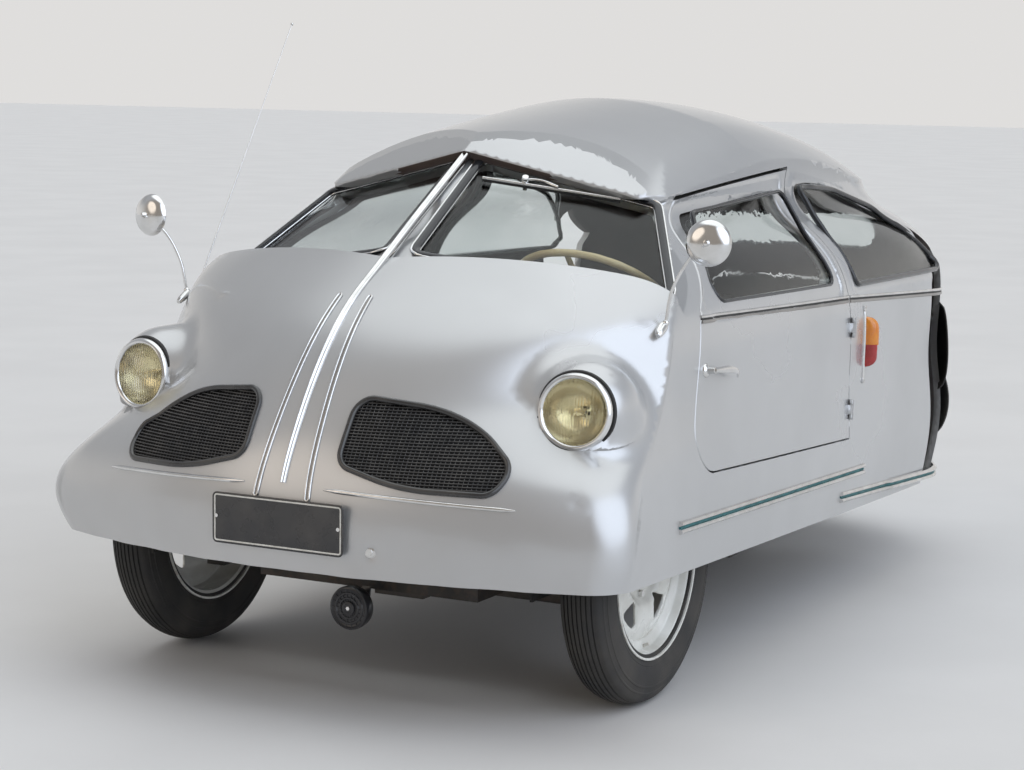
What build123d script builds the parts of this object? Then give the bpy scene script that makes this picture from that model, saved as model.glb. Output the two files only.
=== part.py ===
from build123d import *
import os
from math import atan2, cos, degrees, radians, sin

os.makedirs("parts", exist_ok=True)

# Three-wheeled car, millimetres. +X is the car's left, -Y its front, +Z up.
# Everything is drawn from the front axle's line on the ground and moved once, in save(),
# so that the origin lies at the bottom centre of the whole car.

# Overall sizes
LENGTH = 3200.0
NOSE_OVERHANG = 595.0
HALF_TRACK = 635.0
WHEELBASE = 1960.0
AXLE_Y = NOSE_OVERHANG - LENGTH / 2

# Walls and clearances
NOSE_WALL = 12.0
BODY_WALL = 20.0
ROOF_WALL = 26.0
DOOR_WALL = 42.0
DOOR_GAP = 5.0
DOOR_TOP_ROOM = 5.0
LID_GAP = 5.0
SEAT_CLEAR = 0.3
RUNNING_FIT = 0.05
BIG = 4000.0

# Wheels
TYRE_R = 330.0
TYRE_W = 118.0
BEAD_R = 206.0
RIM_FLANGE_R = 220.5
RIM_W = 112.0
RIM_FLANGE_T = 5.0
RIM_SKIN = 5.0
DISC_DISH = 26.0
HUB_R = 40.0
HUB_LENGTH = 76.0
STUB_R = 16.0
WHEEL_HOLES = 5
WHEEL_HOLE_R = 24.0
WHEEL_HOLE_PCR = 122.0
DRUM_R = 118.0
DRUM_T = 34.0

# Body outlines, one level each. Columns: height, nose centre y, corner x and y, shoulder x and y,
# flank x and y, hip x and y, heel x and y, tail centre y
BODY_LEVELS = (
    (170, -556, 712, -436, 778, -330, 726, 750, 675, 2030, 380, 2470, 2545),
    (350, -578, 705, -430, 772, -325, 732, 750, 685, 2030, 395, 2500, 2603),
    (560, -565, 688, -395, 756, -240, 732, 750, 685, 2030, 395, 2500, 2605),
    (740, -466, 560, -235, 718, -50, 724, 750, 680, 2030, 390, 2490, 2590),
    (900, -333, 588, -100, 698, 40, 706, 750, 675, 2040, 385, 2470, 2535),
    (1050, -92, 520, 90, 606, 215, 612, 800, 580, 2010, 345, 2400, 2450),
    (1210, 140, 430, 320, 506, 440, 511, 900, 480, 1870, 270, 2190, 2255),
    (1450, 530, 270, 640, 352, 740, 358, 1060, 330, 1600, 190, 1850, 1910),
)

# Roof crown: a side profile turned about a long axis under it
CROWN_AXIS_Z = 450.0
CROWN_PROFILE = ((100, 1300), (560, 1368), (1040, 1422), (1850, 1343), (2660, 1105))

# Windscreen: two flat panes from a raked centre line
SCREEN_BASE = Vector(0, -107, 1040)
SCREEN_TOP = Vector(0, 327, 1300)
SCREEN_OUTER = Vector(685, 131, 934)
SCREEN_WALL = 26.0
SCREEN_PANE = ((46, 26), (700, 26), (600, 388), (128, 462))
PANE_CORNER_R = 30.0
PANE_T = 5.0
PANE_DEPTH = 9.0
VISOR = 24.0

# Lower edge of the body: height at the front axle, and fall towards the tail
HEM_Z = 328.0
HEM_FALL = 0.045

# Doors, as seen from the side
DOOR_REAR_Y = 1200.0
DOOR_BOTTOM_Z = 490.0
DOOR_FRONT_LOW_Y = 62.0
DOOR_FRONT_BELT_Y = 190.0
DOOR_TOP_FRONT = (490.0, 1188.0)
DOOR_TOP_REAR_Z = 1232.0
DOOR_CORNER_R = 90.0
BELT_Z = 900.0
DOOR_RAKE = 60.0
DOOR_PANE = ((296, 938), (505, 1150), (1135, 1180), (1135, 925))
DOOR_PANE_R = 34.0
QUARTER_PANE = ((1268, 912), (1268, 1186), (1790, 1105), (2145, 902))
QUARTER_PANE_R = 26.0

# Hinges: doors turn about a vertical line, the lid about a level one
DOOR_HINGE_X = 724.0
DOOR_HINGE_Z = (570.0, 800.0)
HINGE_R = 7.0
HINGE_PIN_R = 3.5
HINGE_CLEAR = 1.5
HINGE_GAP = 0.5
KNUCKLE_LENGTH = 26.0
BARREL_LENGTH = 14.0
LEAF_REACH = 26.0
LEAF_T = 9.0
LID_HINGE_Y = 2578.0
LID_HINGE_X = 150.0

# Engine lid in the tail
LID_HALF_W = 270.0
LID_BOTTOM_Z = 400.0
LID_TOP_Z = 800.0
LID_CORNER_R = 60.0

# Rear window: a wide oval
REAR_PANE_HALF_W = 340.0
REAR_PANE_LOW_Z = 915.0
REAR_PANE_TOP_Z = 1050.0

# Front fittings
LAMP_X = 606.0
LAMP_Y = -290.0
LAMP_Z = 733.0
LAMP_R = 87.0
LAMP_DEPTH = 130.0
LAMP_RIM = 20.0
LAMP_YAW = 8.0
LAMP_TILT = 6.0
FAIRING_LIP = 8.0
# Radius of the lamp housing and the depth behind the lamp where it is measured
FAIRING_WIDE = (123.0, 85.0)
FAIRING_BACK = (85.0, 190.0)
PLATE_W = 356.0
PLATE_H = 120.0
PLATE_T = 5.0
PLATE_Z = 463.0
PLATE_STUD_X = 120.0
PLATE_STUD_R = 7.0
HORN_POINT = (0.0, -262.0, 205.0)
HORN_R = 54.0
HORN_T = 46.0
TRIM_PROUD = 7.0
# Grille outline. Columns: x, z, corner radius
GRILLE = (
    (130, 752, 40), (340, 730, 250), (448, 675, 250), (522, 612, 40),
    (497, 557, 30), (290, 562, 400), (128, 606, 40),
)
STRIP_HALF_W = 6.0
STRIP_TOP = (42.0, 957.0)
STRIP_LOW = (70.0, 525.0)
NOSE_BAR_Z = (548.0, 530.0)
NOSE_BAR_X = (108.0, 556.0)
NOSE_BAR_H = 12.0
SCOOP_Y = (2170.0, 2330.0)
SCOOP_Z = (640.0, 470.0)
SCOOP_H = 270.0
SCOOP_DEPTH = 62.0
SIDE_LAMP_Y = 1350.0
SIDE_LAMP_Z = 728.0
SIDE_LAMP_H = 200.0
SIDE_LAMP_T = 42.0
MIRROR_FOOT = (681.0, 5.0, 901.0)
MIRROR_HEAD = (796.0, 0.0, 1108.0)
MIRROR_R = 55.0
MIRROR_T = 16.0
MIRROR_ARM_R = 5.0
ANTENNA_FOOT = (-690.0, 66.0, 918.0)
ANTENNA_TIP = (-600.0, 379.0, 1612.0)
ANTENNA_R = 2.0

# Cabin
FLOOR_Z = 296.0
FLOOR_T = 16.0
SEAT_FRONT_Y = 640.0
SEAT_BOX_Z = 380.0
BULKHEAD_Y = 1150.0
SHELF_Z = 736.0
CUSHION_H = 125.0
BACKREST_H = 400.0
BACKREST_T = 95.0
SEAT_HALF_W = 560.0
ARCH_R = 352.0
ARCH_T = 6.0
ARCH_INNER_X = 528.0
ARCH_WIDTH = 200.0
DASH_Y = (150.0, 188.0)
DASH_Z = (770.0, 935.0)
STEER_CENTRE = Vector(330, 360, 935)
STEER_RISE = 55.0
STEER_R = 200.0
STEER_RIM_R = 11.0
COLUMN_R = 18.0
COLUMN_LENGTH = 560.0
HOOP_T = 34.0
HOOP_Y = (1212.0, 1250.0)

# Running gear
RAIL_X = 290.0
RAIL_W = 40.0
RAIL_H = 56.0
RAIL_FRONT_Y = -200.0
TOW_X = 180.0
TOW_R = 9.0
REAR_RAIL_Z = 676.0
REAR_RAIL_END_Y = 2150.0
KINGPIN_Y = 1620.0
KINGPIN_R = 24.0
SLEEVE_R = 38.0
SLEEVE_Z = (560.0, 664.0)
FORK_X = 82.0
FORK_T = 20.0
ENGINE = (300.0, 250.0, 320.0)
ENGINE_Z = 300.0
RIM_DISC_X = 2.0
STEER_AXIS = Vector(0, cos(radians(STEER_RISE)), sin(radians(STEER_RISE)))
STEER_DISH = 50.0
SEAT_BACK_Y = BULKHEAD_Y - BACKREST_T
HANDLE_X = 748.0
HANDLE_Y = (178.0, 335.0)
HANDLE_Z = 784.0
HANDLE_DROP = 24.0
HANDLE_FOOT = 14.0
HANDLE_PLATE_T = 6.0
HANDLE_R = 6.0
HANDLE_OUT = 28.0
SIDE_LAMP_X = 703.0
SCOOP_X = (640.0, 555.0)
FRONT_BEAM_R = 27.0
FRONT_BEAM_Z = 240.0
KNUCKLE_X = 560.0


def body_section(row, inset):
    """One closed outline of the body at a level, moved inwards by the inset."""
    z, nose, cx, cy, sx, sy, fx, fy, hx, hy, ex, ey, tail = row
    corner = (cx - 0.7 * inset, cy + 0.8 * inset, z)
    shoulder = (sx - inset, sy + 0.4 * inset, z)
    flank = (fx - inset, fy, z)
    hip = (hx - inset, hy, z)
    heel = (ex - 0.6 * inset, ey - 0.9 * inset, z)
    front = ThreePointArc(flip(corner), (0, nose + inset, z), corner)
    bend = TangentArc(corner, shoulder, tangent=front % 1)
    side = ThreePointArc(shoulder, flank, hip)
    turn = TangentArc(hip, heel, tangent=side % 1)
    back = ThreePointArc(heel, (0, tail - inset, z), flip(heel))
    bend_mid = flip(tuple(bend @ 0.5))
    turn_mid = flip(tuple(turn @ 0.5))
    other_turn = ThreePointArc(flip(heel), turn_mid, flip(hip))
    other_side = ThreePointArc(flip(hip), flip(flank), flip(shoulder))
    other_bend = ThreePointArc(flip(shoulder), bend_mid, flip(corner))
    edges = [front, bend, side, turn, back, other_turn, other_side, other_bend]
    return Face(Wire([edge.edge() for edge in edges]))


def flip(point):
    """The same point on the other side of the car."""
    return (-point[0], point[1], point[2])


def crown(inset):
    """The space under the roof's skin: a side profile turned about a long axis."""
    points = [(y, z - inset) for y, z in CROWN_PROFILE]
    with BuildPart() as turned:
        with BuildSketch(Plane.YZ):
            with BuildLine():
                ThreePointArc(points[0], points[1], points[2])
                ThreePointArc(points[2], points[3], points[4])
                Polyline(points[4], (points[4][0], CROWN_AXIS_Z), (points[0][0], CROWN_AXIS_Z), points[0])
            make_face()
        revolve(axis=Axis((0, 0, CROWN_AXIS_Z), (0, 1, 0)), revolution_arc=360)
    front = Pos(0, points[0][0] - 1000, CROWN_AXIS_Z) * Box(BIG, 2000, BIG)
    back = Pos(0, points[4][0] + 1000, CROWN_AXIS_Z) * Box(BIG, 2000, BIG)
    low = Pos(0, 1000, CROWN_AXIS_Z - BIG / 2) * Box(BIG, BIG, BIG)
    belt = Pos(0, 1000, (CROWN_AXIS_Z + BELT_Z) / 2) * Box(BIG, BIG, BELT_Z - CROWN_AXIS_Z)
    return turned.part + front + back + low + belt


def screen_plane(side):
    """Plane of one windscreen pane: x along its base, y up the glass, z outwards."""
    outer = Vector(side * SCREEN_OUTER.X, SCREEN_OUTER.Y, SCREEN_OUTER.Z)
    along = outer - SCREEN_BASE
    out = along.cross(SCREEN_TOP - SCREEN_BASE) * side
    return Plane(SCREEN_BASE, x_dir=along * side, z_dir=out)


def screen_prism(side, low, high, outline):
    """An outline on a pane's plane, drawn from depth low to depth high."""
    plane = screen_plane(side)
    flat = [(side * u, v) for u, v in outline]
    face = plane * Pos(0, 0, low) * make_face(Polyline(*flat, close=True))
    return extrude(face, amount=high - low, dir=plane.z_dir)


def screen_cut(inset):
    """What lies in front of the windscreen and above its base."""
    far = 1300.0
    outline = ((-400, 0), (far, 0), (far, far), (-400, far))
    both = []
    for side in (1, -1):
        block = screen_prism(side, -inset, 900, outline)
        half = Pos(side * BIG / 2, 0, 0) * Box(BIG, BIG, BIG)
        both.append(block & half)
    return both[0] + both[1]


def hem_cut():
    """What lies below the body's sloping lower edge."""
    angle = degrees(atan2(-HEM_FALL, 1))
    return Pos(0, 0, HEM_Z) * Rot(angle, 0, 0) * Pos(0, 0, -BIG / 2) * Box(BIG, 3 * BIG, BIG)


def body_space(wall, screen_wall, roof_wall):
    """The body's outer form, or the space inside walls of the given thickness."""
    levels = loft([body_section(row, wall) for row in BODY_LEVELS])
    return (levels & crown(roof_wall)) - screen_cut(screen_wall)


def save(name, shape):
    """Write one node, moved to the car's own origin."""
    placed = Pos(0, AXLE_Y, 0) * shape
    placed.label = name
    export_step(placed, f"parts/{name}.step")


OUTER = body_space(0, 0, 0) - hem_cut()
PROUD = body_space(-TRIM_PROUD, -TRIM_PROUD, -TRIM_PROUD) - hem_cut() - OUTER
BEHIND_NOSE = body_space(NOSE_WALL, SCREEN_WALL, ROOF_WALL)
BEHIND_BODY = body_space(BODY_WALL, SCREEN_WALL, ROOF_WALL)
BEHIND_DOOR = body_space(DOOR_WALL, SCREEN_WALL, DOOR_WALL)
VISOR_SPACE = body_space(0, -VISOR, 0) - OUTER
INNER_TRIM = body_space(BODY_WALL + HOOP_T, SCREEN_WALL, ROOF_WALL + HOOP_T)
SHELL = OUTER - BEHIND_BODY


def rounded(face, radius):
    """A flat outline with every corner rounded."""
    return fillet(face.vertices(), radius)


def side_outline(points):
    """A flat side-view outline on the car's centre plane."""
    return make_face(Polyline(*[(0, y, z) for y, z in points], close=True))


def through_x(face, side=0):
    """A side-view outline as a prism: right through, or on one side of the car only."""
    if side == 0:
        return extrude(face, amount=BIG / 2, dir=(1, 0, 0), both=True)
    return extrude(face, amount=BIG / 2, dir=(side, 0, 0))


def front_prism(points, low_y, high_y, radius=0.0):
    """A front-view outline as a prism along Y."""
    face = make_face(Polyline(*[(x, low_y, z) for x, z in points], close=True))
    if radius:
        face = rounded(face, radius)
    return extrude(face, amount=high_y - low_y, dir=(0, 1, 0))


def door_outline(rise=0.0):
    """The door's side-view outline: a square rear edge and a rounded lower front corner."""
    points = (
        (DOOR_REAR_Y, DOOR_BOTTOM_Z),
        (DOOR_REAR_Y, DOOR_TOP_REAR_Z + rise),
        (DOOR_TOP_FRONT[0], DOOR_TOP_FRONT[1] + rise),
        (DOOR_FRONT_BELT_Y, BELT_Z),
        (DOOR_FRONT_LOW_Y, DOOR_BOTTOM_Z + DOOR_RAKE),
    )
    face = side_outline(points)
    low_front = face.vertices().sort_by(lambda v: v.Y + v.Z)[0]
    return fillet(low_front, DOOR_CORNER_R)


def quarter_outline():
    """The quarter window's side-view outline, with an arc along its top."""
    low_front, top_front, top_mid, low_rear = [(0, y, z) for y, z in QUARTER_PANE]
    edges = [Line(low_front, top_front), ThreePointArc(top_front, top_mid, low_rear), Line(low_rear, low_front)]
    return rounded(make_face(edges), QUARTER_PANE_R)


def box_between(low, high):
    """A box from its lowest to its highest corner."""
    size = [h - l for l, h in zip(low, high)]
    centre = [(h + l) / 2 for l, h in zip(low, high)]
    return Pos(*centre) * Box(*size)


def rod(start, end, radius):
    """A round bar between two points."""
    start = Vector(*start)
    path = Vector(*end) - start
    return extrude(Plane(start, z_dir=path) * Circle(radius), amount=path.length)


def mirrored(shape):
    """The shape and its mirror image on the other side of the car."""
    return Compound([shape, mirror(shape, about=Plane.YZ)])


def solid_of(shape):
    """The largest solid of a cut, without the slivers that a cut can leave."""
    return shape.solids().sort_by(SortBy.VOLUME)[-1]


DOOR_FACE = door_outline()
DOORWAY = through_x(offset(door_outline(DOOR_TOP_ROOM), amount=DOOR_GAP))
JAMB_Y = DOOR_REAR_Y + DOOR_GAP
JAMB_TOP = (JAMB_Y, 1238)
DRIP_MID = (1760, 1158)
DRIP_END = (2200, 958)
SILL_FRONT = (240, 545)
SILL_REAR = (JAMB_Y, 492)
LOW = 100
HIGH = 1600
ROOF_AREA = through_x(side_outline(
    ((420, 1190), (74, HIGH), (DRIP_MID[0], HIGH), DRIP_MID, JAMB_TOP, (450, 1190))
))
VISOR_AREA = through_x(side_outline(((360, 1180), (14, HIGH - 10), (700, HIGH - 10), (560, 1190))))
TAIL_AREA = through_x(side_outline(
    ((DRIP_MID[0], HIGH), DRIP_MID, DRIP_END, (DRIP_END[0], LOW), (2800, LOW), (2800, HIGH))
))
QUARTER_AREA = through_x(side_outline(((JAMB_Y, LOW), JAMB_TOP, DRIP_MID, DRIP_END, (DRIP_END[0], LOW))))
SILL_AREA = through_x(side_outline(((SILL_FRONT[0], LOW), SILL_FRONT, SILL_REAR, (JAMB_Y, LOW))))
NOSE_AREA = through_x(side_outline(
    ((-900, LOW), (SILL_FRONT[0], LOW), SILL_FRONT, (700, SILL_FRONT[1]), (700, HIGH), (-900, HIGH))
))
FAR = 1500.0
SCREEN_AREA = (
    screen_prism(1, -220, 600, ((-500, 0), (FAR, 0), (FAR, FAR), (-500, FAR)))
    & box_between((0, -BIG, 0), (BIG, 700, BIG))
) + (
    screen_prism(-1, -220, 600, ((-500, 0), (FAR, 0), (FAR, FAR), (-500, FAR)))
    & box_between((-BIG, -BIG, 0), (0, 700, BIG))
)


def lamp_fairing(side):
    """The rounded housing that joins a headlamp's rim to the nose."""
    rim = (LAMP_R + FAIRING_LIP, -LAMP_RIM / 2)
    wide = (FAIRING_WIDE[0], -FAIRING_WIDE[1])
    back = (FAIRING_BACK[0], -FAIRING_BACK[1])
    outline = Line((0, rim[1]), rim) + ThreePointArc(rim, wide, back)
    outline = outline + Line(back, (0, back[1])) + Line((0, back[1]), (0, rim[1]))
    face = make_face(Plane.XZ * outline)
    return lamp_place(side) * revolve(face, Axis.Z)


def screen_pane(side, low, high):
    """One windscreen pane's outline, from depth low to depth high."""
    plane = screen_plane(side)
    flat = [(side * u, v) for u, v in SCREEN_PANE]
    face = rounded(make_face(Polyline(*flat, close=True)), PANE_CORNER_R)
    return extrude(plane * Pos(0, 0, low) * face, amount=high - low, dir=plane.z_dir)


def grille_prism(side):
    """One grille's outline through the nose."""
    front = -620
    face = make_face(Polyline(*[(side * x, front, z) for x, z, _ in GRILLE], close=True))
    for x, z, radius in GRILLE:
        face = fillet(face.vertices().sort_by_distance((side * x, front, z))[0], radius)
    return extrude(face, amount=440, dir=(0, 1, 0))


def lamp_place(side):
    """The middle of a headlamp's rim: z points out of the lamp, forwards, outwards and a little up."""
    return Pos(side * LAMP_X, LAMP_Y, LAMP_Z) * Rot(0, 0, side * LAMP_YAW) * Rot(90 - LAMP_TILT, 0, 0)


def lamp_space(side, radius, front, back):
    """A cylinder along the headlamp's axis, between two depths behind its rim's middle."""
    return lamp_place(side) * Pos(0, 0, -(front + back) / 2) * Cylinder(radius, back - front)


SCREEN_HOLES = screen_pane(1, -SCREEN_WALL - 40, 40) + screen_pane(-1, -SCREEN_WALL - 40, 40)
LID_FACE = rounded(make_face(Polyline(
    (-LID_HALF_W, 2400, LID_BOTTOM_Z), (LID_HALF_W, 2400, LID_BOTTOM_Z),
    (LID_HALF_W, 2400, LID_TOP_Z), (-LID_HALF_W, 2400, LID_TOP_Z), close=True,
)), LID_CORNER_R)
REAR_PANE_FACE = rounded(make_face(Polyline(
    (-REAR_PANE_HALF_W, 1900, REAR_PANE_LOW_Z), (REAR_PANE_HALF_W, 1900, REAR_PANE_LOW_Z),
    (REAR_PANE_HALF_W, 1900, REAR_PANE_TOP_Z), (-REAR_PANE_HALF_W, 1900, REAR_PANE_TOP_Z), close=True,
)), (REAR_PANE_TOP_Z - REAR_PANE_LOW_Z) / 2 - 1)
REAR_PANE = extrude(REAR_PANE_FACE, amount=800, dir=(0, 1, 0))
LID_HOLE = extrude(offset(LID_FACE, amount=LID_GAP), amount=400, dir=(0, 1, 0))
LID_PRISM = extrude(LID_FACE, amount=400, dir=(0, 1, 0))
QUARTER_FACE = quarter_outline()
DOOR_PANE_FACE = rounded(side_outline(DOOR_PANE), DOOR_PANE_R)


def hinge(axis_plane, leaf_side):
    """A pinned hinge about a plane's z axis: what it clears, its fixed half and its moving half.

    The moving leaf lies on the plane's -y side and the fixed one on its +y side; both reach from
    the pin towards leaf_side along the plane's x axis.
    """
    half = KNUCKLE_LENGTH / 2
    out = half + HINGE_GAP + BARREL_LENGTH / 2
    knuckle = Cylinder(HINGE_R, KNUCKLE_LENGTH)
    reach = leaf_side * LEAF_REACH / 2
    edge = DOOR_GAP / 2
    moving = knuckle + Pos(reach, -edge - LEAF_T / 2, 0) * Box(LEAF_REACH, LEAF_T, KNUCKLE_LENGTH)
    moving = moving - Cylinder(HINGE_PIN_R + RUNNING_FIT, 2 * KNUCKLE_LENGTH)
    fixed = Cylinder(HINGE_PIN_R, KNUCKLE_LENGTH + 2 * BARREL_LENGTH)
    for end in (-out, out):
        fixed = fixed + Pos(0, 0, end) * Cylinder(HINGE_R, BARREL_LENGTH)
        fixed = fixed + Pos(reach, edge + LEAF_T / 2, end) * Box(LEAF_REACH, LEAF_T, BARREL_LENGTH)
    room = Cylinder(HINGE_R + HINGE_CLEAR, KNUCKLE_LENGTH + 2 * BARREL_LENGTH + 6)
    return [axis_plane * shape for shape in (room, fixed, moving)]


def door_hinges(side):
    """Both hinges of one door."""
    found = []
    for z in DOOR_HINGE_Z:
        origin = (side * DOOR_HINGE_X, DOOR_REAR_Y + DOOR_GAP / 2, z)
        found.append(hinge(Plane(origin, x_dir=(1, 0, 0), z_dir=(0, 0, 1)), -side))
    return found


def lid_hinges():
    """Both hinges of the engine lid."""
    found = []
    for x in (-LID_HINGE_X, LID_HINGE_X):
        origin = (x, LID_HINGE_Y, LID_TOP_Z + LID_GAP / 2)
        found.append(hinge(Plane(origin, x_dir=(0, 1, 0), z_dir=(1, 0, 0)), -1))
    return found


def make_shell():
    """The fixed panels of the body."""
    nose = ((OUTER - BEHIND_NOSE) & NOSE_AREA) - SCREEN_AREA - ROOF_AREA - DOORWAY
    for side in (1, -1):
        fairing = lamp_fairing(side) - BEHIND_NOSE
        nose = nose + fairing - lamp_space(side, LAMP_R - 4, -200, LAMP_DEPTH + 60)
        nose = nose - lamp_space(side, LAMP_R + 1, -200, LAMP_RIM / 2)
        nose = nose - grille_prism(side)
    save("nose_panel", solid_of(nose))
    frame = (SHELL & SCREEN_AREA) - ROOF_AREA - DOORWAY - SCREEN_HOLES
    save("windscreen_frame", solid_of(frame))
    visor = VISOR_SPACE & VISOR_AREA & SCREEN_AREA
    save("roof", solid_of((SHELL & ROOF_AREA) - DOORWAY + visor))
    quarter = (SHELL & QUARTER_AREA) - DOORWAY - through_x(QUARTER_FACE)
    for side, name in ((1, "left_quarter_panel"), (-1, "right_quarter_panel")):
        panel = quarter & half_space(side)
        for room, fixed, _ in door_hinges(side):
            panel = panel - room + fixed
        save(name, solid_of(panel))
    tail = (SHELL & TAIL_AREA) - LID_HOLE - REAR_PANE
    for room, fixed, _ in lid_hinges():
        tail = tail - room + fixed
    save("tail_panel", solid_of(tail))
    sills = (SHELL & SILL_AREA) - DOORWAY
    save("sills", sills)


def glazed(low, high):
    """The thin shell of glass between two depths under the skin."""
    return body_space(low, SCREEN_WALL, low) - body_space(high, SCREEN_WALL, high)


def make_glass():
    """Flat windscreen panes, and curved panes that follow the skin."""
    panes = [screen_pane(side, -PANE_DEPTH - PANE_T, -PANE_DEPTH) for side in (1, -1)]
    save("windscreen_panes", Compound(panes))
    glass = glazed(PANE_DEPTH, PANE_DEPTH + PANE_T)
    quarters = [solid_of(glass & through_x(QUARTER_FACE, side)) for side in (1, -1)]
    save("quarter_windows", Compound(quarters))
    save("rear_window", solid_of(glass & REAR_PANE))
    doors = glass & through_x(DOOR_PANE_FACE)
    for side, name in ((1, "left"), (-1, "right")):
        save(f"{name}_door_window", solid_of(doors & half_space(side)))


def half_space(side):
    """Everything on one side of the car."""
    return Pos(side * BIG / 2, 0, 0) * Box(BIG, BIG, BIG)


def make_doors():
    """Both doors with their hinge knuckles, and a pull handle on each."""
    inside = OUTER - BEHIND_DOOR
    for side, name in ((1, "left"), (-1, "right")):
        door = (inside & through_x(DOOR_FACE, side)) - through_x(DOOR_PANE_FACE, side)
        for room, _, moving in door_hinges(side):
            door = door - room + moving
        save(f"{name}_door", solid_of(door))
        foot_y = HANDLE_Y[0] + HANDLE_FOOT
        grip = rod((0, HANDLE_Y[0], HANDLE_Z), (0, HANDLE_Y[1], HANDLE_Z - HANDLE_DROP), HANDLE_R)
        foot = rod((-HANDLE_OUT, foot_y, HANDLE_Z), (0, foot_y, HANDLE_Z), HANDLE_R * 0.9)
        plate = Pos(-HANDLE_OUT, foot_y, HANDLE_Z) * Rot(0, 90, 0) * Cylinder(HANDLE_FOOT, HANDLE_PLATE_T)
        handle = Pos(HANDLE_X, 0, 0) * (grip + foot + plate) - OUTER
        handle = solid_of(handle)
        save(f"{name}_door_handle", handle if side == 1 else mirror(handle, about=Plane.YZ))


def make_engine_lid():
    """The lid over the engine, hinged along its upper edge."""
    lid = SHELL & TAIL_AREA & LID_PRISM
    for room, _, moving in lid_hinges():
        lid = lid - room + moving
    save("engine_lid", solid_of(lid))


def strip_prism(x_top, x_low, z_top, z_low, half_w):
    """A slanting strip in front view, through the nose's skin."""
    points = ((x_low - half_w, z_low), (x_low + half_w, z_low), (x_top + half_w, z_top), (x_top - half_w, z_top))
    return front_prism(points, -640, 60)


def make_nose_fittings():
    """Grilles, chrome strips, lamps, plate and horn."""
    grilles = [((PROUD + (OUTER - BEHIND_BODY)) & grille_prism(side)) for side in (1, -1)]
    save("front_grilles", Compound([solid_of(grille) for grille in grilles]))
    strips = [PROUD & strip_prism(0, 0, SCREEN_BASE.Z - 12, STRIP_LOW[1] + 24, STRIP_HALF_W + 3)]
    for side in (1, -1):
        strip = strip_prism(side * STRIP_TOP[0], side * STRIP_LOW[0], STRIP_TOP[1], STRIP_LOW[1], STRIP_HALF_W)
        strips.append(PROUD & strip)
        bar = (
            (side * NOSE_BAR_X[0], NOSE_BAR_Z[0]), (side * NOSE_BAR_X[1], NOSE_BAR_Z[1]),
            (side * NOSE_BAR_X[1], NOSE_BAR_Z[1] - NOSE_BAR_H), (side * NOSE_BAR_X[0], NOSE_BAR_Z[0] - NOSE_BAR_H),
        )
        strips.append(PROUD & front_prism(bar, -640, -200))
    centre_bar = screen_bar()
    save("nose_trim", Compound([solid_of(strip) for strip in strips] + [centre_bar]))
    lamps = []
    for side in (1, -1):
        shell = lamp_space(side, LAMP_R - 4, LAMP_RIM / 2, LAMP_DEPTH)
        bezel = lamp_space(side, LAMP_R, -LAMP_RIM / 2, LAMP_RIM / 2)
        lens = lamp_place(side) * Pos(0, 0, LAMP_RIM / 2) * scale(Sphere(LAMP_R - 14), (1, 1, 0.25))
        lamps.append(shell + bezel + lens)
    save("headlamps", Compound(lamps))
    plate = box_between(
        (-PLATE_W / 2, -NOSE_OVERHANG, PLATE_Z - PLATE_H / 2),
        (PLATE_W / 2, -NOSE_OVERHANG + PLATE_T, PLATE_Z + PLATE_H / 2),
    )
    back = -NOSE_OVERHANG + PLATE_T
    for x in (-PLATE_STUD_X, PLATE_STUD_X):
        stud = rod((x, back, PLATE_Z), (x, back + 60, PLATE_Z), PLATE_STUD_R) - OUTER
        plate = plate + stud.solids().sort_by(Axis.Y)[0]
    save("number_plate", solid_of(plate))
    x, y, z = HORN_POINT
    horn = Pos(x, y, z) * Rot(90, 0, 0) * (Cylinder(HORN_R, HORN_T) + Pos(0, 0, -HORN_T / 2) * Cylinder(24, 30))
    stalk = box_between((x - 12, y + HORN_T / 2, z - 8), (x + 12, RAIL_FRONT_Y, FLOOR_Z - RAIL_H / 2))
    save("horn", solid_of(horn + stalk))


def screen_bar():
    """The raked centre bar between the windscreen panes."""
    path = SCREEN_TOP - SCREEN_BASE
    plane = Plane(SCREEN_BASE, x_dir=(1, 0, 0), z_dir=path)
    section = plane * make_face(Polyline((-11, 9), (0, 14), (11, 9), (11, -16), (-11, -16), close=True))
    bar = extrude(section, amount=path.length - 30, dir=path)
    return solid_of(bar - OUTER - (VISOR_SPACE & VISOR_AREA & SCREEN_AREA))


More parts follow.
